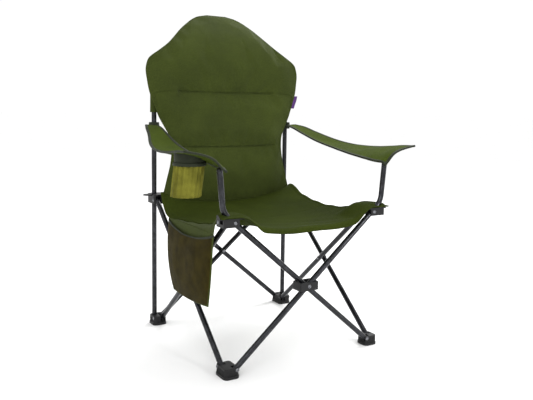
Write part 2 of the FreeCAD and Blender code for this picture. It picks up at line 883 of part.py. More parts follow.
def crossings():
    level = size("pin_low") + rise() / 2
    cross_guide("cross_guide", f"{level:.4f}")
    grip = size("tube_dia") / 2
    sleeve = size("slot_half + guide_wall")
    front = -size("front_outer") - sleeve, -size("front_inner") + sleeve
    rear = size("rear_inner") - grip, size("rear_outer") + grip
    side = size("side_inner") - grip, size("side_outer") + grip
    cross_rivet("cross_rivet_front", Vector(0, front[1], level), Vector(0, front[0], level))
    cross_rivet("cross_rivet_rear", Vector(0, rear[0], level), Vector(0, rear[1], level))
    cross_rivet("cross_rivet_left", Vector(-side[0], 0, level), Vector(-side[1], 0, level))
    cross_rivet("cross_rivet_right", Vector(side[0], 0, level), Vector(side[1], 0, level))


def rear_uprights():
    for word, side in (("left", -1), ("right", 1)):
        upright("upright_" + word, side)
        upright_cap("upright_cap_" + word, side)
        arm_collar("arm_collar_" + word, side)


def fabric():
    back_panel("back_panel")
    seat_half("seat_rear", "seat_rear_line", 1)
    seat_half("seat_front", "-seat_front_line", -1)
    arm_sling("arm_left", -1, True)
    arm_sling("arm_right", 1, False)
    cup_holder("cup_holder")
    cup_ring("cup_ring")
    side_pocket("side_pocket")
    plain_tag("tag")


def check_document():
    """Stops the script if an object failed or a sub-part's shape can't be used."""
    for thing in doc.Objects:
        if "Invalid" in thing.State or "Error" in thing.State:
            raise RuntimeError(f"{thing.Name} failed: {thing.State}")
    for part in SUB_PARTS:
        if part.Shape.isNull() or not part.Shape.isValid() or not part.Shape.Solids:
            raise RuntimeError(f"{part.Label} has no usable shape")


def main():
    frame_poles()
    corners()
    crossings()
    rear_uprights()
    fabric()
    doc.recompute()
    shift = Placement(Vector(0, -size("origin_shift"), 0), Rotation())
    for part in SUB_PARTS:
        part.Placement = shift.multiply(part.Placement)
    doc.recompute()
    check_document()
    os.makedirs("parts", exist_ok=True)
    whole = FreeCAD.BoundBox()
    for part in SUB_PARTS:
        part.Shape.exportStep(f"parts/{part.Label}.step")
        whole.add(part.Shape.BoundBox)
        print(f"{part.Label}: {len(part.Shape.Solids)} solids, {part.Shape.Volume:.0f} mm3")
    print("sub-parts", len(SUB_PARTS), "box", whole)


main()
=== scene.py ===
import logging
import math
from dataclasses import dataclass, field
from enum import Enum
from typing import Callable, Dict, List, Optional, Sequence, Tuple

import bpy
import numpy as np
from mathutils import Matrix, Vector


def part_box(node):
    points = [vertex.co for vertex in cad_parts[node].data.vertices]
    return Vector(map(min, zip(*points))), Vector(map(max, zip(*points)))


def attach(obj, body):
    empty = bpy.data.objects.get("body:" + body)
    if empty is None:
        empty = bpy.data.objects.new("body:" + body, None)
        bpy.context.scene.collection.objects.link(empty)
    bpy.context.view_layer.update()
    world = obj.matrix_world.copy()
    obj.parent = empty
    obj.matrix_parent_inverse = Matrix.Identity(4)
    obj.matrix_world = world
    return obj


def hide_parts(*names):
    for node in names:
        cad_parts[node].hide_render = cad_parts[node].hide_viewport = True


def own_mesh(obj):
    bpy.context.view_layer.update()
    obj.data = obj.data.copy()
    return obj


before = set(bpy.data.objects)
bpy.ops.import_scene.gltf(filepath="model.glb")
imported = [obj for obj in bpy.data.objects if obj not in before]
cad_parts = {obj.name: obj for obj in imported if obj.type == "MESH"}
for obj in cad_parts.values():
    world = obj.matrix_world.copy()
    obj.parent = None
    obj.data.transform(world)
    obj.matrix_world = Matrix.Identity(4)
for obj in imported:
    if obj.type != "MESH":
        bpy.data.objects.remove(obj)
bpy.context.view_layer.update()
LOG = logging.getLogger("camp_chair")

Point = Tuple[float, float, float]
Socket = bpy.types.NodeSocket
Tree = bpy.types.NodeTree
Object = bpy.types.Object
MM = 0.001
# a band wave repeats every BAND_REPEAT / scale
BAND_REPEAT = 0.314


# ---------------------------------------------------------------- colours and shader nodes


def linear(code: str) -> Tuple[float, float, float, float]:
    """Turns an sRGB hex colour into the linear RGBA that shaders use.

    Args:
        code: Six hex digits, with or without a leading hash sign.

    Returns:
        Linear red, green, blue and an alpha of 1.
    """
    digits = code.lstrip("#")
    parts = [int(digits[k : k + 2], 16) / 255 for k in (0, 2, 4)]
    flat = [p / 12.92 if p <= 0.04045 else ((p + 0.055) / 1.055) ** 2.4 for p in parts]
    return flat[0], flat[1], flat[2], 1.0


def add_node(
    tree: Tree,
    kind: str,
    values: Optional[Dict[str, object]] = None,
    **settings: object,
) -> bpy.types.Node:
    """Adds a shader node with its settings, its constants and its links.

    Args:
        tree: The material's node tree.
        kind: The node's type name without its "ShaderNode" prefix.
        values: Input name or index to a constant, or to an output socket that is linked to it.
        settings: Attributes of the node itself.

    Returns:
        The new node.
    """
    node = tree.nodes.new("ShaderNode" + kind)
    for name, setting in settings.items():
        setattr(node, name, setting)
    for key, value in (values or {}).items():
        if isinstance(value, Socket):
            tree.links.new(value, node.inputs[key])
        else:
            node.inputs[key].default_value = value
    return node


class Coordinates(Enum):
    """Where a finish takes its pattern's coordinates from."""

    SPACE = "Object"
    CLOTH = "UV"


def start_material(name: str, where: Coordinates) -> Tuple[bpy.types.Material, Tree, Socket]:
    """Makes an empty node material.

    Args:
        name: Name of the material.
        where: The coordinates that its patterns read.

    Returns:
        The material, its cleared node tree, and the coordinates' output socket.
    """
    material = bpy.data.materials.new(name)
    material.use_nodes = True
    material.node_tree.nodes.clear()
    tree = material.node_tree
    return material, tree, add_node(tree, "TexCoord").outputs[where.value]


def principled(material: bpy.types.Material, values: Dict[str, object]) -> bpy.types.Material:
    """Ends a material with a Principled shader that has these values, and returns the material."""
    tree = material.node_tree
    shader = add_node(tree, "BsdfPrincipled", values)
    add_node(tree, "OutputMaterial", {"Surface": shader.outputs[0]})
    return material


def two_tone(
    tree: Tree, factor: Socket, low: str, high: str, span: Tuple[float, float] = (0.35, 0.65)
) -> Socket:
    """A colour ramp between two hex colours, driven by a factor.

    Args:
        tree: The material's node tree.
        factor: The socket that drives the ramp.
        low: Hex colour below the span.
        high: Hex colour above the span.
        span: Factor values where the ramp starts and ends.

    Returns:
        The ramp's colour output.
    """
    ramp = add_node(tree, "ValToRGB", {"Fac": factor})
    ramp.color_ramp.elements[0].position, ramp.color_ramp.elements[1].position = span
    ramp.color_ramp.elements[0].color = linear(low)
    ramp.color_ramp.elements[1].color = linear(high)
    return ramp.outputs["Color"]


# ---------------------------------------------------------------- finishes


@dataclass(frozen=True)
class WovenPolyester:
    """Oxford-weave polyester canvas, coated on the back.

    Gives the eye a matt cloth with a fine square weave, soft mottling where it has been handled,
    and a faint sheen at grazing angles. The real yarn pitch is 0.6 mm; it is drawn at 1.4 mm so
    that it still shows as a weave from across a room.
    """

    name: str = "woven_polyester"
    shade: str = "434c20"
    light: str = "545e2a"
    pitch: float = 1.4 * MM
    bump: float = 0.35
    sheen: float = 0.03
    specular: float = 0.1
    roughness: float = 0.82

    def build(self) -> bpy.types.Material:
        """Builds the material: two crossed yarn waves, mottling, dust and bump."""
        material, tree, cloth = start_material(self.name, Coordinates.CLOTH)
        space = add_node(tree, "TexCoord").outputs["Object"]
        yarns = [
            add_node(
                tree,
                "TexWave",
                {
                    "Vector": cloth,
                    "Scale": BAND_REPEAT / self.pitch,
                    "Distortion": 0.6,
                    "Detail": 1.0,
                    "Detail Scale": 2.0,
                },
                wave_type="BANDS",
                bands_direction=direction,
            ).outputs["Fac"]
            for direction in ("X", "Y")
        ]
        weave = add_node(tree, "Math", {0: yarns[0], 1: yarns[1]}, operation="MULTIPLY").outputs[0]
        mottle = add_node(tree, "TexNoise", {"Vector": space, "Scale": 9.0, "Detail": 6.0, "Roughness": 0.62})
        slub = add_node(tree, "TexNoise", {"Vector": cloth, "Scale": 260.0, "Detail": 3.0, "Roughness": 0.7})
        base = two_tone(tree, mottle.outputs["Fac"], self.shade, self.light, (0.2, 0.8))
        speck = add_node(
            tree,
            "Mix",
            {0: slub.outputs["Fac"], 6: base, 7: linear(self.light)},
            data_type="RGBA",
            blend_type="SOFT_LIGHT",
        )
        gaps = add_node(tree, "MapRange", {"Value": weave, "From Max": 0.6, "To Min": 0.68, "To Max": 1.08})
        colour = add_node(
            tree,
            "Mix",
            {0: 1.0, 6: speck.outputs[2], 7: gaps.outputs[0]},
            data_type="RGBA",
            blend_type="MULTIPLY",
        )
        gloss = {"To Min": self.roughness - 0.08, "To Max": self.roughness + 0.1}
        rough = add_node(tree, "MapRange", {"Value": mottle.outputs["Fac"], **gloss})
        folds = {"Scale": 38.0, "Detail": 4.0, "Distortion": 0.8}
        creases = add_node(tree, "TexNoise", {"Vector": space, **folds})
        soft = add_node(tree, "Bump", {"Height": creases.outputs["Fac"], "Strength": 0.25, "Distance": 0.004})
        thread = add_node(
            tree,
            "Bump",
            {"Height": weave, "Strength": self.bump, "Distance": 0.5 * MM, "Normal": soft.outputs[0]},
        )
        return principled(
            material,
            {
                "Base Color": colour.outputs[2],
                "Roughness": rough.outputs[0],
                "Normal": thread.outputs[0],
                "IOR": 1.5,
                "Specular IOR Level": self.specular,
                "Sheen Weight": self.sheen,
                "Sheen Roughness": 0.5,
            },
        )


@dataclass(frozen=True)
class OpenMesh:
    """Warp-knitted polyester mesh, as sewn into holders and pockets.

    Gives the eye a slightly see-through cloth: rows of small round holes painted a dark shade that stands
    in for the shaded depth seen through them. Real holes are 1.6 mm apart; they are drawn at 3 mm so
    that they show.
    """

    name: str
    yarn: str
    hole: str
    pitch: float = 3.0 * MM

    def build(self) -> bpy.types.Material:
        """Builds the material: staggered round holes from two waves, mottling and bump."""
        material, tree, cloth = start_material(self.name, Coordinates.CLOTH)
        space = add_node(tree, "TexCoord").outputs["Object"]
        waves = [
            add_node(
                tree,
                "TexWave",
                {"Vector": cloth, "Scale": BAND_REPEAT / self.pitch, "Distortion": 0.25, "Detail": 0.0},
                bands_direction=direction,
            ).outputs["Fac"]
            for direction in ("X", "Y")
        ]
        holes = add_node(tree, "Math", {0: waves[0], 1: waves[1]}, operation="MULTIPLY").outputs[0]
        fine = add_node(tree, "TexNoise", {"Vector": space, "Scale": 30.0, "Detail": 5.0})
        yarn = two_tone(tree, fine.outputs["Fac"], self.hole, self.yarn, (0.12, 0.62))
        dots = add_node(tree, "MapRange", {"Value": holes, "From Min": 0.45, "From Max": 0.8})
        # Painted shade: the holes take the dark hole colour in place of the shaded inside that would show
        # through them.
        colour = add_node(tree, "Mix", {0: dots.outputs[0], 6: yarn, 7: linear(self.hole)}, data_type="RGBA")
        bump = add_node(tree, "Bump", {"Height": holes, "Strength": 0.5, "Distance": 0.0008}, invert=True)
        return principled(
            material,
            {
                "Base Color": colour.outputs[2],
                "Normal": bump.outputs[0],
                "Roughness": 0.7,
                "IOR": 1.5,
                "Specular IOR Level": 0.05,
            },
        )


@dataclass(frozen=True)
class WovenTape:
    """Woven polyester tape, folded over raw edges and sewn down.

    Gives the eye a narrow, slightly shiny ribbed edge. The ribs are 1.2 mm apart.
    """

    name: str
    shade: str
    light: str
    pitch: float = 1.2 * MM

    def build(self) -> bpy.types.Material:
        """Builds the material: ribs across the tape and a little mottling."""
        material, tree, cloth = start_material(self.name, Coordinates.CLOTH)
        ribs = add_node(
            tree,
            "TexWave",
            {"Vector": cloth, "Scale": BAND_REPEAT / self.pitch, "Distortion": 0.4, "Detail": 1.0},
            bands_direction="DIAGONAL",
        ).outputs["Fac"]
        worn = add_node(tree, "TexNoise", {"Vector": cloth, "Scale": 60.0, "Detail": 4.0})
        mixed = add_node(tree, "Math", {0: ribs, 1: worn.outputs["Fac"]}, operation="MULTIPLY")
        colour = two_tone(tree, mixed.outputs[0], self.shade, self.light, (0.1, 0.6))
        bump = add_node(tree, "Bump", {"Height": ribs, "Strength": 0.4, "Distance": 0.0004})
        return principled(
            material,
            {
                "Base Color": colour,
                "Normal": bump.outputs[0],
                "Roughness": 0.68,
                "IOR": 1.5,
                "Specular IOR Level": 0.2,
                "Sheen Weight": 0.02,
            },
        )


@dataclass(frozen=True)
class PowderCoat:
    """Hammered anthracite powder coat, baked on steel tube.

    Gives the eye a dark satin tube with soft long highlights, broken up by a fine dimpled texture
    with dimples about 1.5 mm across, and paler rubbed spots.
    """

    name: str = "powder_coat"
    shade: str = "1a1b1e"
    light: str = "3d3e43"
    dimple: float = 1.5 * MM

    def build(self) -> bpy.types.Material:
        """Builds the material: dimples, cloudy gloss and rubbed spots."""
        material, tree, space = start_material(self.name, Coordinates.SPACE)
        pits = {"Vector": space, "Scale": 1 / self.dimple, "Smoothness": 0.8}
        dimples = add_node(tree, "TexVoronoi", pits, feature="SMOOTH_F1")
        cloud = add_node(tree, "TexNoise", {"Vector": space, "Scale": 55.0, "Detail": 5.0, "Roughness": 0.6})
        rub = add_node(tree, "TexNoise", {"Vector": space, "Scale": 420.0, "Detail": 2.0})
        mixed = add_node(tree, "Math", {0: cloud.outputs["Fac"], 1: rub.outputs["Fac"]}, operation="MULTIPLY")
        colour = two_tone(tree, mixed.outputs[0], self.shade, self.light, (0.2, 0.42))
        rough = add_node(tree, "MapRange", {"Value": cloud.outputs["Fac"], "To Min": 0.16, "To Max": 0.26})
        relief = {"Strength": 0.1, "Distance": 0.4 * MM}
        bump = add_node(tree, "Bump", {"Height": dimples.outputs["Distance"], **relief})
        return principled(
            material,
            {
                "Base Color": colour,
                "Roughness": rough.outputs[0],
                "Normal": bump.outputs[0],
                "Metallic": 0.7,
                "IOR": 1.5,
                "Coat Weight": 0.15,
                "Coat Roughness": 0.25,
            },
        )


@dataclass(frozen=True)
class MouldedNylon:
    """Injection-moulded black nylon with a spark-eroded grain.

    Gives the eye near-black plastic with a dull sheen and slightly greyed, scuffed edges. The
    grain is 0.5 mm, drawn at 1 mm.
    """

    name: str = "moulded_nylon"
    shade: str = "08080a"
    light: str = "16161a"
    grain: float = 1.0 * MM

    def build(self) -> bpy.types.Material:
        """Builds the material: grain, scuffs and uneven gloss."""
        material, tree, space = start_material(self.name, Coordinates.SPACE)
        grain = add_node(tree, "TexNoise", {"Vector": space, "Scale": 1 / self.grain, "Detail": 2.0})
        wear = {"Scale": 70.0, "Detail": 7.0, "Roughness": 0.7, "Distortion": 0.5}
        scuff = add_node(tree, "TexNoise", {"Vector": space, **wear})
        colour = two_tone(tree, scuff.outputs["Fac"], self.shade, self.light, (0.5, 0.8))
        rough = add_node(tree, "MapRange", {"Value": scuff.outputs["Fac"], "To Min": 0.36, "To Max": 0.6})
        bump = add_node(tree, "Bump", {"Height": grain.outputs["Fac"], "Strength": 0.2, "Distance": 0.0003})
        return principled(
            material,
            {
                "Base Color": colour,
                "Roughness": rough.outputs[0],
                "Normal": bump.outputs[0],
                "IOR": 1.53,
                "Specular IOR Level": 0.3,
            },
        )


@dataclass(frozen=True)
class ZincSteel:
    """Zinc-plated steel rivets, rolled over at the ends.

    Gives the eye small grey domes with a blurred bright spot and fine turning marks.
    """

    name: str = "zinc_steel"
    shade: str = "4d4e52"
    light: str = "8d8e92"

    def build(self) -> bpy.types.Material:
        """Builds the material: cloudy zinc with uneven gloss."""
        material, tree, space = start_material(self.name, Coordinates.SPACE)
        cloud = add_node(tree, "TexNoise", {"Vector": space, "Scale": 300.0, "Detail": 4.0})
        colour = two_tone(tree, cloud.outputs["Fac"], self.shade, self.light)
        rough = add_node(tree, "MapRange", {"Value": cloud.outputs["Fac"], "To Min": 0.28, "To Max": 0.5})
        bump = add_node(tree, "Bump", {"Height": cloud.outputs["Fac"], "Strength": 0.15, "Distance": 0.0002})
        return principled(
            material,
            {"Base Color": colour, "Roughness": rough.outputs[0], "Normal": bump.outputs[0], "Metallic": 1.0},
        )


class Finish(Enum):
    """Every finish on the chair; each member's value is the recipe that builds its material."""

    CANVAS = WovenPolyester()
    # Painted light: a brighter copy of the canvas for the arms, standing in for the light that falls on their
    # tops.
    CANVAS_LIT = WovenPolyester("woven_polyester_arms_painted_light", "46521f", "5c6929", sheen=0.0, specular=0.05)
    # Painted shade: a darker copy of the canvas for the seat, so that its upward face reads as dark as the
    # upright back.
    CANVAS_SEAT_PAINTED_SHADE = WovenPolyester("woven_polyester_seat_painted_shade", "3c4518", "4b5620", sheen=0.0, specular=0.04)
    # Thread darker than the canvas; along the back's cross seams its dark line is partly painted shade for
    # the seam creases.
    THREAD = WovenTape("sewing_thread_and_seam_shade", "2c3418", "4d5a2c", 0.8 * MM)
    BINDING = WovenTape("edge_binding", "191d12", "2c3320")
    # The second colour of each mesh is painted shade for its holes.
    HOLDER_MESH = OpenMesh("holder_mesh", "74722a", "3a3912")
    POCKET_MESH = OpenMesh("pocket_mesh", "352e0c", "1a1604")
    TAG = WovenTape("tag_weave", "43265c", "6a4488")
    TUBE = PowderCoat()
    PLASTIC = MouldedNylon()
    RIVET = ZincSteel()


MATERIALS: Dict[Finish, bpy.types.Material] = {}


def material_of(finish: Finish) -> bpy.types.Material:
    """Builds a finish's material once and returns it after that."""
    if finish not in MATERIALS:
        MATERIALS[finish] = finish.value.build()
    return MATERIALS[finish]


# ---------------------------------------------------------------- surfaces


def through(rows: np.ndarray, at: np.ndarray) -> np.ndarray:
    """A smooth curve through a table's rows.

    Each column is a cubic Hermite curve over the first column, and its slope at a row is the
    central difference of the neighbouring rows.

    Args:
        rows: Table whose first column rises; shape (n, 1 + k).
        at: Values of the first column where the curve is wanted.

    Returns:
        The other columns at those values; shape at.shape + (k,).
    """
    x, y = rows[:, 0], rows[:, 1:]
    slope = np.gradient(y, x, axis=0)
    k = np.clip(np.searchsorted(x, at, side="right") - 1, 0, len(x) - 2)
    h = x[k + 1] - x[k]
    t = ((at - x[k]) / h)[..., None]
    h = h[..., None]
    return (
        (1 + 2 * t) * (1 - t) ** 2 * y[k]
        + t * (1 - t) ** 2 * h * slope[k]
        + t**2 * (3 - 2 * t) * y[k + 1]
        + t**2 * (t - 1) * h * slope[k + 1]
    )


def ease(share: np.ndarray) -> np.ndarray:
    """The smooth step 3 s^2 - 2 s^3 of a share held between 0 and 1."""
    held = np.clip(share, 0, 1)
    return held * held * (3 - 2 * held)


def unit(vectors: np.ndarray) -> np.ndarray:
    """The vectors at length one."""
    return vectors / np.maximum(np.linalg.norm(vectors, axis=-1, keepdims=True), 1e-12)


def arc_lengths(points: np.ndarray, axis: int) -> np.ndarray:
    """Running length of a grid's lines along one of its two axes, averaged over the other."""
    steps = np.linalg.norm(np.diff(points, axis=axis), axis=-1).mean(axis=1 - axis)
    return np.concatenate([[0.0], np.cumsum(steps)])


def mesh_object(
    name: str, verts: np.ndarray, faces: np.ndarray, uv: Optional[np.ndarray] = None
) -> Object:
    """Puts arrays of vertices and quads into a new smooth object.

    Args:
        name: Name of the object.
        verts: Vertices in metres; shape (n, 3).
        faces: Vertex numbers of each face; shape (f, 3 or 4).
        uv: Cloth coordinates of each face corner in metres; shape (f * corners, 2).

    Returns:
        The object, at the origin.
    """
    mesh = bpy.data.meshes.new(name)
    mesh.from_pydata(verts.tolist(), [], faces.tolist())
    if uv is not None:
        layer = mesh.uv_layers.new(name="cloth")
        layer.data.foreach_set("uv", uv.astype(np.float32).ravel())
    mesh.polygons.foreach_set("use_smooth", np.ones(len(mesh.polygons), bool))
    mesh.validate()
    obj = bpy.data.objects.new(name, mesh)
    bpy.context.scene.collection.objects.link(obj)
    return obj


def grid_faces(rows: int, cols: int, wrap: bool = False) -> np.ndarray:
    """Quads of a grid of vertices numbered row by row; wrap joins the last column to the first."""
    r = np.arange(rows - 1)[:, None]
    c = np.arange(cols if wrap else cols - 1)[None, :]
    following = (c + 1) % cols
    quad = [r * cols + c, r * cols + following, (r + 1) * cols + following, (r + 1) * cols + c]
    return np.stack(np.broadcast_arrays(*quad), axis=-1).reshape(-1, 4)


def grid_object(name: str, points: np.ndarray, wrap: bool = False, flip: bool = False) -> Object:
    """A surface from a grid of points, with cloth coordinates in metres along its two directions.

    Args:
        name: Name of the object.
        points: The surface's points; shape (rows, cols, 3).
        wrap: True if the last column joins the first.
        flip: True turns the faces round.

    Returns:
        The object.
    """
    rows, cols = points.shape[:2]
    closed = np.concatenate([points, points[:, :1]], axis=1) if wrap else points
    across, along = arc_lengths(closed, 1), arc_lengths(closed, 0)
    faces = grid_faces(rows, cols, wrap)
    r, c = faces // cols, faces % cols
    if wrap:
        closing = (c == 0) & (np.roll(c, 1, axis=1).max(axis=1, keepdims=True) == cols - 1)
        c = np.where(closing, cols, c)
    uv = np.stack([across[c], along[r]], axis=-1)
    if flip:
        faces, uv = faces[:, ::-1], uv[:, ::-1]
    return mesh_object(name, points.reshape(-1, 3), faces, uv.reshape(-1, 2))


def thicken(obj: Object, thickness: float, offset: float = 0.0) -> Object:
    """Gives a sheet its thickness with an applied Solidify; offset 1 grows it outwards only."""
    solid = obj.modifiers.new("thickness", "SOLIDIFY")
    solid.thickness = thickness
    solid.offset = offset
    apply_modifiers(obj)
    return obj


def apply_modifiers(obj: Object) -> None:
    """Replaces the object's mesh with the one that its modifiers give."""
    graph = bpy.context.evaluated_depsgraph_get()
    solid = obj.evaluated_get(graph)
    mesh = bpy.data.meshes.new_from_object(solid, preserve_all_data_layers=True, depsgraph=graph)
    obj.modifiers.clear()
    obj.data = mesh


def joined(name: str, parts: Sequence[Object]) -> Object:
    """Joins objects into one, kept under a new name."""
    bpy.ops.object.select_all(action="DESELECT")
    for part in parts:
        part.select_set(True)
    bpy.context.view_layer.objects.active = parts[0]
    if len(parts) > 1:
        bpy.ops.object.join()
    parts[0].name = name
    parts[0].data.name = name
    return parts[0]


def path_frames(path: np.ndarray, loop: bool = False) -> np.ndarray:
    """Unit tangents of a path of points, by central differences."""
    if loop:
        return unit(np.roll(path, -1, axis=0) - np.roll(path, 1, axis=0))
    return unit(np.gradient(path, axis=0))


def edge_tape(
    name: str, path: np.ndarray, inward: np.ndarray, width: float, thick: float, loop: bool = False
) -> Object:
    """Tape folded over a cloth's edge.

    The section is a flat oval: point(a) = edge + inward * width * (0.42 - 0.5 cos a) +
    normal * thick / 2 * sin a, carried along the edge.

    Args:
        name: Name of the object.
        path: The edge's points; shape (n, 3).
        inward: Directions from the edge into the cloth; shape (n, 3).
        width: Width of the folded tape.
        thick: Thickness over the cloth.
        loop: True if the edge closes on itself.

    Returns:
        The object.
    """
    tangent = path_frames(path, loop)
    inward = unit(inward - tangent * (inward * tangent).sum(-1, keepdims=True))
    normal = np.cross(tangent, inward)
    a = np.linspace(0, 2 * math.pi, 12, endpoint=False)
    flat = np.sign(np.sin(a)) * np.abs(np.sin(a)) ** 0.6
    section = (
        path[:, None]
        + inward[:, None] * (width * (0.42 - 0.5 * np.cos(a)))[None, :, None]
        + normal[:, None] * (thick / 2 * flat)[None, :, None]
    )
    if loop:
        return grid_object(name, np.concatenate([section, section[:1]]), wrap=True)
    caps = [end.mean(axis=1, keepdims=True).repeat(12, axis=1) for end in (section[:1], section[-1:])]
    return grid_object(name, np.concatenate([caps[0], section, caps[1]]), wrap=True)


def resampled(path: np.ndarray, pitch: float) -> np.ndarray:
    """Points spaced evenly along a path, about pitch apart."""
    run = np.concatenate([[0.0], np.cumsum(np.linalg.norm(np.diff(path, axis=0), axis=1))])
    count = max(2, int(run[-1] / pitch))
    at = (np.arange(count) + 0.5) * run[-1] / count
    return np.stack([np.interp(at, run, path[:, k]) for k in range(3)], axis=-1)


def stitch_run(
    name: str,
    path: np.ndarray,
    normal: np.ndarray,
    pitch: float = 4.5 * MM,
    long: float = 3.2 * MM,
    wide: float = 1.0 * MM,
) -> Object:
    """A row of lock stitches, each a small eight-faced lozenge lying on the cloth.

    Args:
        name: Name of the object.
        path: The seam's points; shape (n, 3).
        normal: Directions out of the cloth at those points; shape (n, 3) or (3,).
        pitch: Distance from one stitch to the next.
        long: Length of a stitch.
        wide: Width of the thread.

    Returns:
        The object.
    """
    centre = resampled(path, pitch)
    tangent = path_frames(centre)
    normal = np.broadcast_to(normal, path.shape)
    run = np.linspace(0, 1, len(path))
    share = np.linspace(0, 1, len(centre))
    out = unit(np.stack([np.interp(share, run, normal[:, k]) for k in range(3)], axis=-1))
    side = np.cross(tangent, out)
    arms = np.stack(
        [
            tangent * long / 2,
            side * wide / 2,
            -tangent * long / 2,
            -side * wide / 2,
            out * wide * 0.6,
            -out * wide * 0.3,
        ],
        axis=1,
    )
    verts = (centre[:, None] + arms).reshape(-1, 3)
    upper = [[0, 4, 1], [1, 4, 2], [2, 4, 3], [3, 4, 0]]
    lozenge = np.array(upper + [[1, 5, 0], [2, 5, 1], [3, 5, 2], [0, 5, 3]])
    faces = (np.arange(len(centre))[:, None, None] * 6 + lozenge[None, :, ::-1]).reshape(-1, 3)
    uv = np.tile(np.array([[0, 0], [0.001, 0], [0, 0.003]]), (len(faces), 1))
    return mesh_object(name, verts, faces, uv)


def puff(obj: Object, held: np.ndarray, pressure: float, cap: float, grow: float = 0.0) -> None:
    """Swells a closed cloth shell between its held seams with a short cloth simulation.

    Args:
        obj: The closed shell, changed in place.
        held: True for each vertex that a seam holds.
        pressure: Air pressure inside the shell.
        cap: How far a vertex may move, in metres.
        grow: Share by which the cloth is larger than its rest shape, which makes it wrinkle.
    """
    group = obj.vertex_groups.new(name="held")
    group.add(np.nonzero(held)[0].tolist(), 1.0, "REPLACE")
    start = np.empty(len(obj.data.vertices) * 3)
    obj.data.vertices.foreach_get("co", start)
    cloth = obj.modifiers.new("swell", "CLOTH")
    rules = cloth.settings
    rules.quality = 5
    rules.mass = 0.2
    rules.tension_stiffness = 18
    rules.compression_stiffness = 18
    rules.shear_stiffness = 6
    rules.bending_stiffness = 0.4
    rules.use_pressure = True
    rules.uniform_pressure_force = pressure
    rules.shrink_min = -grow
    rules.vertex_group_mass = "held"
    rules.effector_weights.gravity = 0
    cloth.collision_settings.use_collision = False
    cloth.collision_settings.use_self_collision = False
    cloth.point_cache.frame_start = 1
    cloth.point_cache.frame_end = 20
    scene = bpy.context.scene
    for step in range(1, 21):
        scene.frame_set(step)
    graph = bpy.context.evaluated_depsgraph_get()
    moved = obj.evaluated_get(graph).data
    end = np.empty(len(start))
    moved.vertices.foreach_get("co", end)
    shift = (end - start).reshape(-1, 3)
    length = np.linalg.norm(shift, axis=1, keepdims=True)
    shift *= np.minimum(1.0, cap / np.maximum(length, 1e-9))
    obj.modifiers.clear()
    obj.vertex_groups.clear()
    obj.data.vertices.foreach_set("co", (start + shift.ravel()).astype(np.float32))
    obj.data.update()
    scene.frame_set(1)


# ---------------------------------------------------------------- how pieces ride


@dataclass(frozen=True)
class Fold:
    """Where a soft piece rides as the frame closes."""

    body: str
    axis: Point
    anchor: Point
    keep: float


class Ride(Enum):
    """The ways in which soft pieces follow the closing frame."""

    BACK = Fold("root", (1, 0, 0), (-0.253, 0, 0), 0.2702)
    SEAT_REAR = Fold("seat_rear_half", (1, 0, 0), (-0.253, 0, 0), 0.2702)
    SEAT_FRONT = Fold("seat_front_half", (1, 0, 0), (-0.253, 0, 0), 0.2702)
    POCKET = Fold("rear_left_hub", (0, 1, 0), (0, 0.21, 0), 0.21)
    ARM_LEFT = Fold("left_arm", (-0.0518, -0.9794, -0.1952), (-0.253, 0.217, 0.656), 0.3551)
    ARM_RIGHT = Fold("right_arm", (0.0501, -0.9807, -0.1889), (0.253, 0.217, 0.656), 0.3665)


def dress(obj: Object, finish: Finish) -> Object:
    """Gives a piece its finish as its only material."""
    obj.data.materials.clear()
    obj.data.materials.append(material_of(finish))
    return obj


def fasten(obj: Object, ride: Ride) -> None:
    """Makes a finished soft piece follow its body."""
    fold = ride.value
    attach(obj, fold.body)
    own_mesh(obj)
    LOG.info("%s rides %s, %d faces", obj.name, fold.body, len(obj.data.polygons))


# ---------------------------------------------------------------- frame finishes


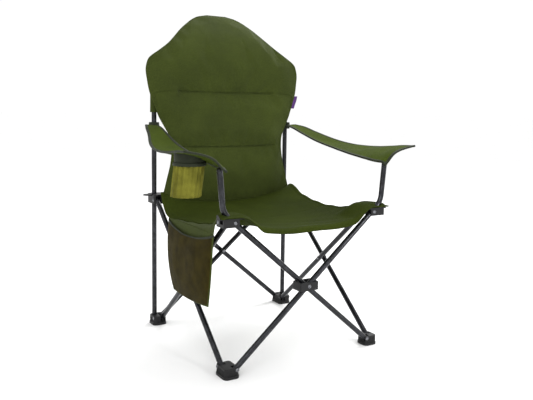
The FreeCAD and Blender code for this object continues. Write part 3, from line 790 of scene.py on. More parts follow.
@dataclass
class Frame:
    """The tubes, plastic parts and rivets that come from the CAD, and the ribs on the feet."""

    rib_pitch: float = 5.2 * MM
    rib_wide: float = 2.4 * MM
    rib_proud: float = 1.2 * MM
    skirt: Tuple[float, float] = (8.5 * MM, 25.0 * MM)
    flare: float = 2.5 * MM

    def finishes(self) -> None:
        """Assigns the finishes to the CAD parts' own material slots."""
        for name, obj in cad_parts.items():
            if "rivet" in name:
                finish = Finish.RIVET
            elif "pole" in name or name in ("upright_left", "upright_right"):
                finish = Finish.TUBE
            else:
                finish = Finish.PLASTIC
            for place in obj.material_slots:
                place.material = material_of(finish)

    def ribs(self, corner: str, body: str) -> None:
        """Upright grip ribs round a foot's block.

        The ribs are short half-round bars: point(a, h) = wall + outward * proud * sin a +
        along * wide / 2 * cos a, at heights h, shrinking to nothing at both ends.

        Args:
            corner: The foot's corner name.
            body: The body that it rides on.
        """
        low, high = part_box("foot_" + corner)
        x0, x1 = low.x + self.flare, high.x - self.flare
        y0, y1 = low.y + self.flare, high.y - self.flare
        inset = 9.0 * MM
        walls = []
        for a, b, out in (
            ((x0 + inset, y0), (x1 - inset, y0), (0, -1)),
            ((x1, y0 + inset), (x1, y1 - inset), (1, 0)),
            ((x1 - inset, y1), (x0 + inset, y1), (0, 1)),
            ((x0, y1 - inset), (x0, y0 + inset), (-1, 0)),
        ):
            count = max(2, int(math.dist(a, b) / self.rib_pitch) + 1)
            t = np.linspace(0, 1, count)[:, None]
            place = np.array(a) * (1 - t) + np.array(b) * t
            walls.append(np.concatenate([place, np.broadcast_to(out, (count, 2))], axis=1))
        spots = np.concatenate(walls)
        out = np.concatenate([spots[:, 2:], np.zeros((len(spots), 1))], axis=1)
        along = np.stack([-out[:, 1], out[:, 0], out[:, 2]], axis=1)
        a = np.linspace(0, math.pi, 5)
        levels = np.array([self.skirt[0], self.skirt[0] + 1.5 * MM, self.skirt[1] - 3 * MM, self.skirt[1]])
        swell = np.array([0.3, 1.0, 1.0, 0.0])
        base = np.concatenate([spots[:, :2], np.zeros((len(spots), 1))], axis=1) - out * 0.4 * MM
        rise = (np.sin(a)[None, :] * swell[:, None])[None, :, :, None]
        spread = (np.cos(a)[None, :] * np.ones((4, 1)))[None, :, :, None]
        verts = (
            base[:, None, None]
            + out[:, None, None] * (self.rib_proud + 0.4 * MM) * rise
            + along[:, None, None] * (self.rib_wide / 2) * spread
            + np.array([0, 0, 1.0]) * levels[None, :, None, None]
        )
        faces = (np.arange(len(spots))[:, None, None] * 20 + grid_faces(4, 5)[None]).reshape(-1, 4)
        uv = np.zeros((len(faces) * 4, 2))
        piece = mesh_object("foot_ribs_" + corner, verts.reshape(-1, 3), faces, uv)
        dress(piece, Finish.PLASTIC)
        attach(piece, body)
        LOG.info("%s rides %s", piece.name, body)

    def build(self) -> None:
        """Dresses the CAD parts and adds the ribs."""
        self.finishes()
        for corner, body in (
            ("rear_left", "root"),
            ("rear_right", "right_stand"),
            ("front_left", "front_left_foot"),
            ("front_right", "front_right_foot"),
        ):
            self.ribs(corner, body)


# ---------------------------------------------------------------- back


@dataclass
class PaddedBack:
    """Padded back panel: narrow behind the arms, winged over the uprights, head part leaning back."""

    # height, half of the width, front-to-back place, in millimetres
    outline: Tuple[Tuple[float, float, float], ...] = (
        (434, 241, 189),
        (480, 229, 189),
        (540, 214, 190),
        (590, 210, 193),
        (620, 214, 196),
        (650, 229, 201),
        (690, 250, 206),
        (720, 261, 208),
        (760, 276, 211),
        (800, 284, 214),
        (850, 286, 217),
        (875, 275, 218),
        (900, 240, 222),
        (925, 205, 232),
        (950, 177, 247),
        (975, 150, 263),
        (1000, 118, 277),
        (1018, 90, 289),
        (1028, 66, 295),
        (1034, 36, 298),
    )
    seams: Tuple[float, ...] = (588.0, 770.0)
    seam_half: float = 178.0
    bottom_sag: float = 40.0
    thick: float = 7.0
    pillow: float = 11.0
    hollow: float = 9.0
    seam_dip: float = 3.0
    rows: int = 118
    cols: int = 96
    middle: np.ndarray = field(default_factory=lambda: np.zeros((0, 0, 3)))

    def surface(self, t: np.ndarray, u: np.ndarray) -> np.ndarray:
        """The panel's middle surface.

        Height runs from the seat seam to the top with t, x = half width * u, and the bottom edge
        hangs lower in its middle by bottom_sag * (1 - |u| ** 2.6), fading out over the lowest fifth.

        Args:
            t: Share of the height, 0 to 1.
            u: Share of the half width, -1 to 1.

        Returns:
            Points in metres.
        """
        rows = np.array(self.outline, float)
        height = rows[0, 0] + (rows[-1, 0] - rows[0, 0]) * t
        shape = through(rows, height)
        fade = np.clip(1 - t / 0.22, 0, 1) ** 2
        z = height - self.bottom_sag * (1 - np.abs(u) ** 2.6) * fade
        hollow = self.hollow * (1 - u**2) * np.sin(np.clip(t, 0, 1) * math.pi)
        return np.stack([shape[..., 0] * u, shape[..., 1] + hollow, z], axis=-1) * MM

    def seam_line(self, seam: float, x: np.ndarray) -> np.ndarray:
        """Height of a cross seam at x: a parabola that dips by seam_dip in its middle."""
        return seam - self.seam_dip * (1 - (x / self.seam_half) ** 2)

    def seam_mask(self, points: np.ndarray, reach: float) -> np.ndarray:
        """1 on the two cross seams, falling to 0 at reach millimetres from them."""
        x, z = points[..., 0] / MM, points[..., 2] / MM
        inside = np.clip((self.seam_half + 6 - np.abs(x)) / 8, 0, 1)
        near = np.zeros_like(z)
        for seam in self.seams:
            near = np.maximum(near, np.clip(1 - np.abs(z - self.seam_line(seam, x)) / reach, 0, 1))
        return near * inside

    def levels(self) -> np.ndarray:
        """Shares of the height for the grid's rows, closer together at the cross seams."""
        rows = np.array(self.outline, float)
        offsets = np.array([-11, -8, -5.5, -3.5, -1.8, 0, 1.8, 3.5, 5.5, 8, 11])
        fine = np.concatenate([seam - 1.5 + offsets - rows[0, 0] for seam in self.seams])
        fine = fine / (rows[-1, 0] - rows[0, 0])
        plain = np.linspace(0, 1, self.rows - len(fine))
        return np.sort(np.concatenate([plain, fine]))

    def shell(self) -> Object:
        """The closed shell: front and rear grids that meet at the edge, pinched at the seams.

        The front stands off the middle surface by thick / 2 + pillow * (quilting), where quilting
        is 1 between the seams and falls off over the last 40 mm towards each seam.
        """
        t = self.levels()[:, None] * np.ones((1, self.cols))
        u = np.sin(np.linspace(-1, 1, self.cols) * math.pi / 2 * 0.92) / math.sin(math.pi / 2 * 0.92)
        u = np.ones((self.rows, 1)) * u[None, :]
        middle = self.surface(t, u)
        ends = np.clip(t / 0.025, 0, 1) * np.clip((1 - t) / 0.025, 0, 1)
        edge = np.clip((1 - np.abs(u)) / 0.06, 0, 1) * ends
        pinch = self.seam_mask(middle, 5.0) ** 1.5
        swell = np.sqrt(np.clip(edge, 0, 1)) * (1 - 0.9 * pinch)
        rise = ease((1 - np.abs(u)) / 0.3) * ease(t / 0.16) * ease((1 - t) / 0.14)
        quilting = rise * (1 - 0.85 * self.seam_mask(middle, 40.0) ** 2.2) * (1 - 0.6 * pinch)
        half = swell[..., None] * np.array([0, self.thick / 2 * MM, 0])
        front = middle - half - quilting[..., None] * np.array([0, self.pillow * MM, 0])
        rear = middle + half
        self.middle = middle
        one = grid_object("back_front", front)
        two = grid_object("back_rear", rear, flip=True)
        whole = joined("back_pad", [one, two])
        bpy.ops.object.mode_set(mode="EDIT")
        bpy.ops.mesh.select_all(action="SELECT")
        bpy.ops.mesh.remove_doubles(threshold=1e-5)
        bpy.ops.object.mode_set(mode="OBJECT")
        return whole

    def held(self, obj: Object) -> np.ndarray:
        """True for the shell's vertices on the outer edge and on the cross seams."""
        co = np.empty(len(obj.data.vertices) * 3)
        obj.data.vertices.foreach_get("co", co)
        co = co.reshape(-1, 3)
        grid = self.middle
        border = np.concatenate([grid[0], grid[-1], grid[:, 0], grid[:, -1]])
        keys = {tuple(row) for row in np.round(border, 5).tolist()}
        on_edge = np.array([tuple(row) in keys for row in np.round(co, 5).tolist()])
        return on_edge | (self.seam_mask(co, 4.5) > 0.05)

    def perimeter(self) -> np.ndarray:
        """The edge's points, once round from the lower left corner."""
        p = self.middle
        return np.concatenate([p[0], p[1:, -1], p[-1, -2::-1], p[-2:0:-1, 0]])

    def build(self) -> None:
        """Builds the pad, its welted edge, its cross seams' stitching and the upright sleeves."""
        pad = self.shell()
        puff(pad, self.held(pad), 1.6, 7 * MM, 0.012)
        smooth = pad.modifiers.new("round", "SUBSURF")
        smooth.levels = smooth.render_levels = 1
        apply_modifiers(pad)
        dress(pad, Finish.CANVAS)
        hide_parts("back_panel")
        fasten(pad, Ride.BACK)
        edge = self.perimeter()
        centre = edge.mean(axis=0)
        welt = edge_tape("back_welt", edge, centre - edge, 5.0 * MM, 3.4 * MM, loop=True)
        dress(welt, Finish.CANVAS)
        fasten(welt, Ride.BACK)
        runs = []
        out = np.array([0, -1.0, 0])
        for seam in self.seams:
            x = np.linspace(-self.seam_half, self.seam_half, 60)
            z = self.seam_line(seam, x)
            rows = np.array(self.outline, float)
            shape = through(rows, z)
            t = (z - rows[0, 0]) / (rows[-1, 0] - rows[0, 0])
            hollow = self.hollow * (1 - (x / shape[:, 0]) ** 2) * np.sin(t * math.pi)
            # The cross seams' wide dark stitches are partly painted shade: they draw the dark line of each
            # seam's crease.
            for lift in (-1.6, 1.6):
                line = np.stack([x, shape[:, 1] + hollow - 2.4, z + lift], axis=-1) * MM
                runs.append(stitch_run("seam", line, out, wide=1.5 * MM))
        inner = self.surface(np.linspace(0.03, 0.97, 120), np.full(120, 1.0) - 0.035)
        for side in (1, -1):
            run = inner * np.array([side, 1, 1]) + np.array([0, -3.6 * MM, 0])
            runs.append(stitch_run("seam", run, out))
        stitches = joined("back_stitching", runs)
        dress(stitches, Finish.THREAD)
        fasten(stitches, Ride.BACK)
        for side, word in ((-1, "left"), (1, "right")):
            self.sleeve(side, word)

    def sleeve(self, side: int, word: str) -> None:
        """Cloth sleeve on the back of a wing that holds the upright's top.

        A slightly rippled tube round the upright, about 12.5 mm in radius, closed over the cap by
        a dome.

        Args:
            side: -1 for left, 1 for right.
            word: The side's name.
        """
        levels = np.array([700, 703, 720, 760, 800, 840, 862, 874, 880, 883], float)
        radius = np.array([13.4, 13.0, 12.4, 12.2, 12.4, 12.2, 12.0, 9.5, 5.0, 0.2])
        a = np.linspace(0, 2 * math.pi, 36, endpoint=False)
        ripple = 1 + 0.03 * np.sin(3 * a[None, :] + levels[:, None] / 17.0)
        r = radius[:, None] * ripple
        x = side * 253.0 + r * np.cos(a)[None, :]
        y = 235.0 + r * np.sin(a)[None, :]
        z = levels[:, None] + 0 * a[None, :]
        tube = grid_object("upright_sleeve_" + word, np.stack([x, y, z], axis=-1) * MM, wrap=True)
        dress(tube, Finish.CANVAS)
        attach(tube, "root" if side < 0 else "right_stand")
        LOG.info("%s", tube.name)


# ---------------------------------------------------------------- seat


@dataclass
class SlingSeat:
    """One sheet of canvas slung between the four hubs, in two halves that part at its middle line."""

    # front-to-back place, half of the width, in millimetres
    plan: Tuple[Tuple[float, float], ...] = (
        (-308, 277),
        (-290, 276),
        (-270, 272),
        (-250, 264),
        (-230, 253),
        (-205, 243),
        (-150, 237),
        (-42.5, 236),
        (60, 240),
        (150, 247),
        (187, 249),
    )
    # front-to-back place, height of the left edge, height of the right edge
    edges: Tuple[Tuple[float, float, float], ...] = (
        (-308, 437, 437),
        (-262, 434, 435),
        (-181, 403, 416),
        (-46, 380, 404),
        (52, 375, 413),
        (107, 376, 423),
        (145, 388, 438),
        (172, 415, 447),
        (187, 444, 447),
    )
    middle: float = -42.5
    thick: float = 2.2

    def point(self, y: np.ndarray, u: np.ndarray) -> np.ndarray:
        """The seat's surface.

        Height rises along y from its lowest place at the middle line, and across it by a curve
        |u| ** 2.6 up to each side edge's own height. The front corners rise onto the hubs with
        a smooth step, and the front edge rolls down over the hubs' tongues.

        Args:
            y: Front-to-back place in millimetres.
            u: Share of the half width, -1 to 1.

        Returns:
            Points in metres.
        """
        half = through(np.array(self.plan, float), y)[..., 0]
        away = y - self.middle
        rear = np.clip(away / 230, 0, 1)
        front = np.clip(-away / 258, 0, 1)
        centre = 377 + 27 * rear**1.8 + 14 * front**2
        lifts = through(np.array(self.edges, float), y)
        edge = np.where(u < 0, lifts[..., 0], lifts[..., 1])
        z = centre + (edge - centre) * np.abs(u) ** 2.6
        corner = ease((half * np.abs(u) - 150) / 68) * ease((-y - 172) / 67)
        z = z * (1 - corner) + (437 - 5.5 * ease((-y - 280) / 14)) * corner
        roll = np.clip((-299 - y) / 9, 0, 1) ** 1.3 * 14 * (1 - corner)
        ripple = 1.6 * np.sin(u * 9 + y / 37) * np.sin(y / 21 + 2 * u) * (1 - np.abs(u) ** 4)
        place = y + 14 * ease((-u - 0.72) / 0.1) * np.clip((-y - 240) / 68, 0, 1)
        scallop = 1.2 * np.sin(y / 12.5 + 2 * u) * np.abs(u) ** 8 * (1 - corner) * ease((170 - y) / 30)
        slack = 13 * np.exp(-(((y - 100) / 48) ** 2)) * np.clip(-u, 0, 1) ** 3
        height = z - roll + scallop + ripple * np.abs(away) / 240
        return np.stack([half * u - slack, place, height], axis=-1) * MM

    def half_sheet(self, word: str, start: float, stop: float, ride: Ride) -> None:
        """Builds one half of the seat with its side tapes and stitching.

        Args:
            word: "rear" or "front".
            start: First place along y.
            stop: Last place along y.
            ride: How the half follows the frame.
        """
        y = np.linspace(start, stop, 56)[:, None] * np.ones((1, 90))
        u = np.ones((56, 1)) * np.linspace(-1, 1, 90)[None, :]
        points = self.point(y, u)
        sheet = grid_object("seat_sheet_" + word, points)
        thicken(sheet, self.thick * MM)
        # The seat and its side tapes take the darker canvas copy: painted shade on the upward face.
        dress(sheet, Finish.CANVAS_SEAT_PAINTED_SHADE)
        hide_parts("seat_" + word)
        fasten(sheet, ride)
        trims = []
        for k, nxt in ((0, 3), (-1, -4)):
            trims.append(edge_tape("tape", points[:, k], points[:, nxt] - points[:, k], 12 * MM, 4.4 * MM))
        tape = joined("seat_side_tape_" + word, trims)
        dress(tape, Finish.CANVAS_SEAT_PAINTED_SHADE)
        fasten(tape, ride)
        up = np.array([0, 0, 1.0])
        runs = []
        for edge in (0.955, 0.925):
            for side in (-1, 1):
                line = self.point(y[:, 0], np.full(56, side * edge)) + up * 1.4 * MM
                runs.append(stitch_run("seam", line, up))
        across = np.linspace(-0.97, 0.97, 90)
        for place in (-284.0, -290.0) if word == "front" else (176.0, 180.0):
            line = self.point(np.full(90, place), across) + up * 1.4 * MM
            runs.append(stitch_run("seam", line, up))
        stitches = joined("seat_stitching_" + word, runs)
        dress(stitches, Finish.THREAD)
        fasten(stitches, ride)

    def build(self) -> None:
        """Builds both halves."""
        self.half_sheet("rear", self.middle, 187.0, Ride.SEAT_REAR)
        self.half_sheet("front", -308.0, self.middle, Ride.SEAT_FRONT)


# ---------------------------------------------------------------- arms and cup holder


@dataclass
class ArmSling:
    """Arm rest: a leaf of canvas from a loop on the upright to the tip of the arm post."""

    side: int
    # front-to-back place, inner edge and its height, outer edge and its height, in millimetres
    rows: Tuple[Tuple[float, float, float, float, float], ...] = (
        (-298, 266, 560, 386, 609),
        (-240, 266, 562, 383, 606),
        (-200, 265, 567, 379, 602),
        (-110, 262, 580, 373, 597),
        (-40, 260, 593, 363, 599),
        (40, 256, 609, 345, 611),
        (130, 250, 635, 316, 637),
        (180, 247, 650, 303, 652),
        (218, 246, 658, 290, 658),
    )
    crown: float = 13.0
    cup: Tuple[float, float, float] = (328.0, -205.0, 41.0)
    thick: float = 4.6

    @property
    def word(self) -> str:
        """The side's name."""
        return "left" if self.side < 0 else "right"

    @property
    def ride(self) -> Ride:
        """How this arm follows the frame."""
        return Ride.ARM_LEFT if self.side < 0 else Ride.ARM_RIGHT

    def point(self, y: np.ndarray, u: np.ndarray) -> np.ndarray:
        """The sling's surface.

        A point lies between the inner edge at u = 0 and the outer edge at u = 1; the cloth is
        crowned by crown * sin(pi u ** 0.8) near the front, hangs slack between its ends, and dips
        by a bell curve at the front hem where it closes over the post.

        Args:
            y: Front-to-back place in millimetres.
            u: Share of the way from the inner to the outer edge.

        Returns:
            Points in metres.
        """
        shape = through(np.array(self.rows, float), y)
        x = shape[..., 0] * (1 - u) + shape[..., 2] * u
        z = shape[..., 1] * (1 - u) + shape[..., 3] * u
        front = np.clip((-y + 40) / 300, 0, 1)
        along = np.sin(math.pi * np.clip((218 - y) / 516, 0, 1))
        arch = self.crown * np.sin(math.pi * u**0.8) * (front**1.5 - 0.5 * along)
        bow = np.sin(math.pi * u)
        puckers = 1.5 * np.sin(y / 9.5 - 4 * u) * front * bow**0.5
        ripple = 1.1 * np.sin(y / 23 + 5 * u) * bow + puckers
        hem = 10 * np.exp(-(((u - 0.08) / 0.14) ** 2)) * np.clip((-y - 282) / 16, 0, 1)
        return np.stack([self.side * x, y + 0 * u, z + arch + ripple - hem], axis=-1) * MM

    def build(self) -> None:
        """Builds the sling, its binding, its stitching and the loop round the upright."""
        y = np.linspace(-298, 218, 104)[:, None] * np.ones((1, 36))
        u = np.ones((104, 1)) * np.linspace(0, 1, 36)[None, :]
        points = self.point(y, u)
        sheet = grid_object("arm_sling_" + self.word, points, flip=self.side < 0)
        thicken(sheet, self.thick * MM)
        if self.side < 0:
            self.cut_hole(sheet)
            self.throat()
        # The arms take the brighter canvas copy: painted light on their lit tops.
        dress(sheet, Finish.CANVAS_LIT)
        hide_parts("arm_" + self.word)
        fasten(sheet, self.ride)
        trims = []
        for k, nxt in ((0, 3), (-1, -4)):
            trims.append(edge_tape("tape", points[:, k], points[:, nxt] - points[:, k], 9 * MM, 6.4 * MM))
        trims.append(edge_tape("tape", points[0], points[3] - points[0], 9 * MM, 6.4 * MM))
        tape = joined("arm_binding_" + self.word, trims)
        dress(tape, Finish.BINDING)
        fasten(tape, self.ride)
        up = np.array([0, 0, 1.0])
        lines = [self.point(y[:, 0], np.full(104, share)) for share in (0.14, 0.86)]
        across = np.linspace(0.05, 0.95, 36)
        lines.append(self.point(np.full(36, -280.0), across))
        runs = [stitch_run("seam", line + up * 1.6 * MM, up) for line in lines]
        stitches = joined("arm_stitching_" + self.word, runs)
        dress(stitches, Finish.THREAD)
        fasten(stitches, self.ride)
        self.loop()

    def throat(self) -> None:
        """Dark band that joins the round hole's edge to the cup holder's rim below it.

        Its upper edge follows the sling's surface round the hole, and its lower edge is level.
        """
        x, y, radius = self.cup
        a = np.linspace(0, 2 * math.pi, 96, endpoint=False)
        across, along = x + (radius - 0.6) * np.cos(a), y + (radius - 0.6) * np.sin(a)
        shape = through(np.array(self.rows, float), along)
        share = (across - shape[:, 0]) / (shape[:, 2] - shape[:, 0])
        upper = self.point(along, share) + np.array([0, 0, 1.5]) * MM
        lower = upper.copy()
        lower[:, 2] = 572.0 * MM
        t = np.linspace(0, 1, 8)[:, None, None]
        band = grid_object("cup_throat", upper * (1 - t) + lower * t, wrap=True)
        thicken(band, 1.2 * MM)
        dress(band, Finish.BINDING)
        fasten(band, self.ride)

    def cut_hole(self, sheet: Object) -> None:
        """Cuts the cup's round hole out of the sling with an applied Boolean."""
        x, y, radius = self.cup
        a = np.linspace(0, 2 * math.pi, 64, endpoint=False)
        ring = np.stack([self.side * x + radius * np.cos(a), y + radius * np.sin(a)], axis=-1)
        levels = np.array([540.0, 540.0, 640.0, 640.0])
        scale = np.array([0.001, 1.0, 1.0, 0.001])
        hub = np.array([self.side * x, y])
        rows = []
        for share, level in zip(scale, levels):
            rows.append(np.concatenate([hub + (ring - hub) * share, np.full((64, 1), level)], axis=1))
        cutter = grid_object("cutter", np.stack(rows) * MM, wrap=True)
        cut = sheet.modifiers.new("hole", "BOOLEAN")
        cut.object = cutter
        cut.operation = "DIFFERENCE"
        cut.solver = "EXACT"
        apply_modifiers(sheet)
        bpy.data.objects.remove(cutter)

    def loop(self) -> None:
        """Webbing loop round the upright that the sling is sewn to.

        A flat band bent round the tube: point(a, h) = axis + r(a) * (cos a, sin a) at height h,
        where r grows towards the sling so that the loop closes into a drop shape.
        """
        a = np.linspace(0, 2 * math.pi, 48, endpoint=False)
        forward = np.clip(-np.sin(a), 0, 1) ** 6
        radius = 15.0 + 7.0 * forward
        heights = np.array([645.0, 646.5, 656.0, 666.5, 668.0])
        bulge = np.array([-0.8, 0.4, 0.8, 0.4, -0.8])
        rows = []
        for shell in (1.2, -1.2):
            order = range(5) if shell > 0 else range(4, -1, -1)
            for k in order:
                r = radius + shell + (bulge[k] if shell > 0 else 0)
                x, y = self.side * 253 + r * np.cos(a), 235 + r * np.sin(a)
                rows.append(np.stack([x, y, np.full(48, heights[k])], axis=-1))
        rows.append(rows[0])
        band = grid_object("arm_loop_" + self.word, np.stack(rows) * MM, wrap=True)
        dress(band, Finish.BINDING)
        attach(band, "root" if self.side < 0 else "right_stand")
        LOG.info("%s", band.name)


@dataclass
class CupHolder:
    """Mesh basket under the left arm, gathered into an elastic rim."""

    centre: Tuple[float, float] = (-328.0, -205.0)
    top: float = 573.0
    tall: float = 90.0
    rim_radius: float = 42.4
    top_radius: float = 38.0
    low_radius: float = 39.6
    folds: int = 17
    lean: float = -11.0

    def build(self) -> None:
        """Builds the basket and its rim.

        The wall is r(a, h) = straight wall + fold depth(h) * cos(folds * a + slow drift), with
        deeper folds near the elastic, leaning by lean from the rim to the base; the bottom closes
        to its centre with a slight sag.
        """
        a = np.linspace(0, 2 * math.pi, 204, endpoint=False)[None, :]
        h = np.concatenate([np.linspace(0, 1, 34), [1.03, 1.06, 1.08, 1.09, 1.095, 1.1]])[:, None]
        wall = np.clip(h, 0, 1)
        radius = self.top_radius + (self.low_radius - self.top_radius) * np.sin(wall * math.pi / 2)
        depth = 1.9 * (1 - wall) ** 1.3 + 0.9
        drift = 0.7 * np.sin(2 * a + 3 * wall) + 0.4 * np.sin(5 * a)
        radius = radius + depth * np.cos(self.folds * a + drift + 0.6 * wall)
        floor = np.clip((h - 1) / 0.1, 0, 1)
        radius = radius * np.sqrt(np.clip(1 - floor**2, 0.0004, 1))
        z = self.top - wall * self.tall * 0.98 - 2.5 * floor
        x = self.centre[0] + self.lean * wall + radius * np.cos(a)
        y = self.centre[1] + radius * np.sin(a)
        verts = np.stack([x, y, z + 0 * a], axis=-1)
        basket = grid_object("cup_basket", verts[::-1] * MM, wrap=True)
        thicken(basket, 1.3 * MM)
        dress(basket, Finish.HOLDER_MESH)
        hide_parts("cup_holder")
        fasten(basket, Ride.ARM_LEFT)
        ring = np.linspace(0, 2 * math.pi, 96, endpoint=False)
        x = self.centre[0] + self.rim_radius * np.cos(ring)
        y = self.centre[1] + self.rim_radius * np.sin(ring)
        rim = np.stack([x, y, np.full(96, self.top + 1.0)], axis=-1)
        down = np.tile(np.array([0, 0, -1.0]), (96, 1))
        trim = edge_tape("cup_rim", rim * MM, down, 9.5 * MM, 4.2 * MM, loop=True)
        dress(trim, Finish.BINDING)
        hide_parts("cup_ring")
        fasten(trim, Ride.ARM_LEFT)


# ---------------------------------------------------------------- pocket and tag


@dataclass
class SidePocket:
    """Mesh pocket that hangs outside the left poles, open along its bound top edge."""

    # share of the depth, rear edge, front edge, in millimetres
    sides: Tuple[Tuple[float, float, float], ...] = (
        (0.0, 78, -226),
        (0.3, 84, -219),
        (0.6, 78, -212),
        (0.85, 60, -203),
        (1.0, 40, -196),
    )
    top: float = 378.0
    face: float = -267.0
    bulge: float = 18.0

    def point(self, a: np.ndarray, b: np.ndarray, swell: float, sag: float) -> np.ndarray:
        """A panel of the pocket.

        a runs from the rear edge to the front edge and b from the top down. The panel stands off
        its flat back by swell * sin(pi a) ** 0.6 * (0.45 + 0.55 sin(pi b)), and its top sags.

        Args:
            a: Share from rear to front.
            b: Share from top to bottom.
            swell: How far the panel stands off, in millimetres.
            sag: How far the top edge hangs down in its middle.

        Returns:
            Points in metres.
        """
        edges = through(np.array(self.sides, float), b)
        y = edges[..., 0] * (1 - a) + edges[..., 1] * a
        low = 164 + 8 * a - 6 * np.sin(math.pi * a)
        high = self.top - sag * np.sin(math.pi * a) ** 0.8
        z = high * (1 - b) + low * b
        belly = 0.5 * (1 - b) ** 0.5 + 0.85 * np.sin(math.pi * b) ** 0.6
        round_out = np.sin(math.pi * np.clip(a, 0, 1)) ** 0.55 * belly
        crease = 0.9 * np.sin(a * 19 + b * 4) * np.sin(math.pi * a) * (1 - b)
        x = self.face - swell * np.clip(round_out, 0, 1) - crease * min(1.0, swell)
        return np.stack([x, y, z], axis=-1) * MM

    def build(self) -> None:
        """Builds the outer mesh panel, the canvas back, the bound edges and the bottom band."""
        rows, cols = 60, 64
        b = np.linspace(0, 1, rows)[:, None] * np.ones((1, cols))
        a = np.ones((rows, 1)) * np.linspace(0, 1, cols)[None, :]
        outer = self.point(a, b, self.bulge, 26)
        panel = grid_object("pocket_panel", outer, flip=True)
        thicken(panel, 1.2 * MM)
        dress(panel, Finish.POCKET_MESH)
        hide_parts("side_pocket")
        fasten(panel, Ride.POCKET)
        back = grid_object("pocket_back", self.point(a, b, 0.0, -4))
        thicken(back, 1.2 * MM)
        dress(back, Finish.CANVAS)
        fasten(back, Ride.POCKET)
        top_edge = edge_tape("tape", outer[0], outer[3] - outer[0], 7 * MM, 2.8 * MM)
        rim = joined("pocket_top_binding", [top_edge])
        dress(rim, Finish.BINDING)
        fasten(rim, Ride.POCKET)
        trims = [
            edge_tape("tape", outer[:, 0], outer[:, 3] - outer[:, 0], 6 * MM, 3.2 * MM),
            edge_tape("tape", outer[:, -1], outer[:, -4] - outer[:, -1], 6 * MM, 3.2 * MM),
            edge_tape("tape", outer[-1], outer[-4] - outer[-1], 6 * MM, 3.2 * MM),
        ]
        edges = joined("pocket_edge_tape", trims)
        dress(edges, Finish.CANVAS)
        fasten(edges, Ride.POCKET)
        self.skirt()

    def skirt(self) -> None:
        """Canvas strip from the seat's side edge down to the pocket's top edge."""
        seat = SlingSeat()
        y = np.linspace(84, -226, 64)
        top = seat.point(y, np.full(64, -1.0)) + np.array([0, 0, -1.5]) * MM
        low = self.point(np.linspace(0, 1, 64), np.zeros(64), 0.0, -4)
        t = np.linspace(0, 1, 12)[:, None, None]
        bow = np.array([-3.0, 0, 0]) * MM * np.sin(math.pi * t)
        strip = grid_object("pocket_skirt", top[None] * (1 - t) + low[None] * t + bow, flip=True)
        thicken(strip, 1.4 * MM)
        dress(strip, Finish.CANVAS)
        fasten(strip, Ride.POCKET)


@dataclass
class PlainTag:
    """Blank woven tag sewn into the back's right edge."""

    low: float = 718.0
    tall: float = 44.0
    wide: float = 11.0

    def build(self) -> None:
        """Builds the tag: a folded ribbon whose free edge curls forward a little."""
        z = np.linspace(self.low, self.low + self.tall, 24)
        edge = through(np.array(PaddedBack().outline, float), z)
        s = np.linspace(0, 1, 12)[:, None]
        x = edge[None, :, 0] - 2 + (self.wide + 2) * s
        y = edge[None, :, 1] - 3.0 * np.sin(s * math.pi * 0.5) + 0.6 * np.sin(z / 6)[None, :] * s
        points = np.stack([x, y, z[None, :] + 0 * s], axis=-1) * MM
        tag = grid_object("side_tag", points)
        thicken(tag, 1.2 * MM)
        dress(tag, Finish.TAG)
        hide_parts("tag")
        fasten(tag, Ride.BACK)


# ---------------------------------------------------------------- studio


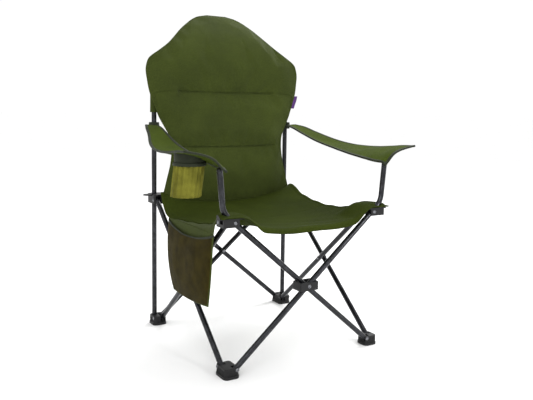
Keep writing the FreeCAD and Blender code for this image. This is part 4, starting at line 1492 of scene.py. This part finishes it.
@dataclass
class Studio:
    """Camera, lights and floor."""

    eye: Point = (-1.0434, -1.7665, 0.7187)
    yaw: float = -31.38
    pitch: float = 5.44
    roll: float = 0.80
    lens: float = 43.99
    shift: float = -0.0563

    def camera(self) -> None:
        """Makes the camera from its heading, tilt and roll."""
        yaw, pitch, roll = (math.radians(v) for v in (self.yaw, self.pitch, self.roll))
        ahead = Vector((-math.sin(yaw) * math.cos(pitch), math.cos(yaw) * math.cos(pitch), -math.sin(pitch)))
        right = Vector((math.cos(yaw), math.sin(yaw), 0))
        up = right.cross(ahead)
        turned = right * math.cos(roll) + up * math.sin(roll)
        above = up * math.cos(roll) - right * math.sin(roll)
        data = bpy.data.cameras.new("camera")
        data.sensor_width = 36
        data.lens = self.lens
        data.shift_y = self.shift
        camera = bpy.data.objects.new("camera", data)
        bpy.context.scene.collection.objects.link(camera)
        axes = Matrix((turned, above, -ahead)).transposed().to_4x4()
        camera.matrix_world = Matrix.Translation(self.eye) @ axes
        bpy.context.scene.camera = camera

    def light(self, name: str, place: Point, aim: Point, size: float, watts: float) -> None:
        """Adds a soft square area light at place, facing aim."""
        data = bpy.data.lights.new(name, "AREA")
        data.shape = "SQUARE"
        data.size = size
        data.energy = watts
        lamp = bpy.data.objects.new(name, data)
        bpy.context.scene.collection.objects.link(lamp)
        lamp.location = place
        lamp.rotation_euler = (Vector(aim) - Vector(place)).to_track_quat("-Z", "Y").to_euler()

    def floor(self) -> None:
        """A wide pale floor, and a white surround."""
        mesh = bpy.data.meshes.new("floor")
        r = 60.0
        mesh.from_pydata([(-r, -r, 0), (r, -r, 0), (r, r, 0), (-r, r, 0)], [], [(0, 1, 2, 3)])
        floor = bpy.data.objects.new("floor", mesh)
        bpy.context.scene.collection.objects.link(floor)
        material, tree, space = start_material("studio_floor", Coordinates.SPACE)
        shade = add_node(tree, "TexNoise", {"Vector": space, "Scale": 3.0})
        colour = two_tone(tree, shade.outputs["Fac"], "fcfcfc", "ffffff")
        matt = {"Roughness": 0.9, "Specular IOR Level": 0.1}
        mesh.materials.append(principled(material, {"Base Color": colour, **matt}))
        world = bpy.data.worlds.new("surround")
        world.use_nodes = True
        nodes = world.node_tree.nodes
        background = nodes.get("Background") or nodes.new("ShaderNodeBackground")
        background.inputs["Color"].default_value = (1, 1, 1, 1)
        background.inputs["Strength"].default_value = 1.02
        out = nodes.get("World Output") or nodes.new("ShaderNodeOutputWorld")
        world.node_tree.links.new(background.outputs[0], out.inputs["Surface"])
        bpy.context.scene.world = world

    def build(self) -> None:
        """Makes the camera, the lights and the floor."""
        self.camera()
        self.light("key", (1.9, 0.9, 2.9), (0, 0, 0.4), 2.0, 88.0)
        self.light("fill", (-2.4, -2.6, 1.9), (0, 0, 0.5), 2.2, 36.0)
        self.light("glint", (0.9, -3.4, 1.5), (0, 0, 0.4), 0.45, 24.0)
        self.floor()
        bpy.context.scene.view_settings.view_transform = "Standard"


def main() -> None:
    """Builds the chair's pieces in order, then the studio."""
    logging.basicConfig(level=logging.INFO, format="%(name)s: %(message)s")
    steps: List[Tuple[str, Callable[[], None]]] = [
        ("studio", Studio().build),
        ("frame", Frame().build),
        ("padded back", PaddedBack().build),
        ("sling seat", SlingSeat().build),
        ("left arm", ArmSling(-1).build),
        ("right arm", ArmSling(1).build),
        ("cup holder", CupHolder().build),
        ("side pocket", SidePocket().build),
        ("tag", PlainTag().build),
    ]
    for name, build in steps:
        build()
        LOG.info("%s done", name)


if __name__ == "__main__":
    main()
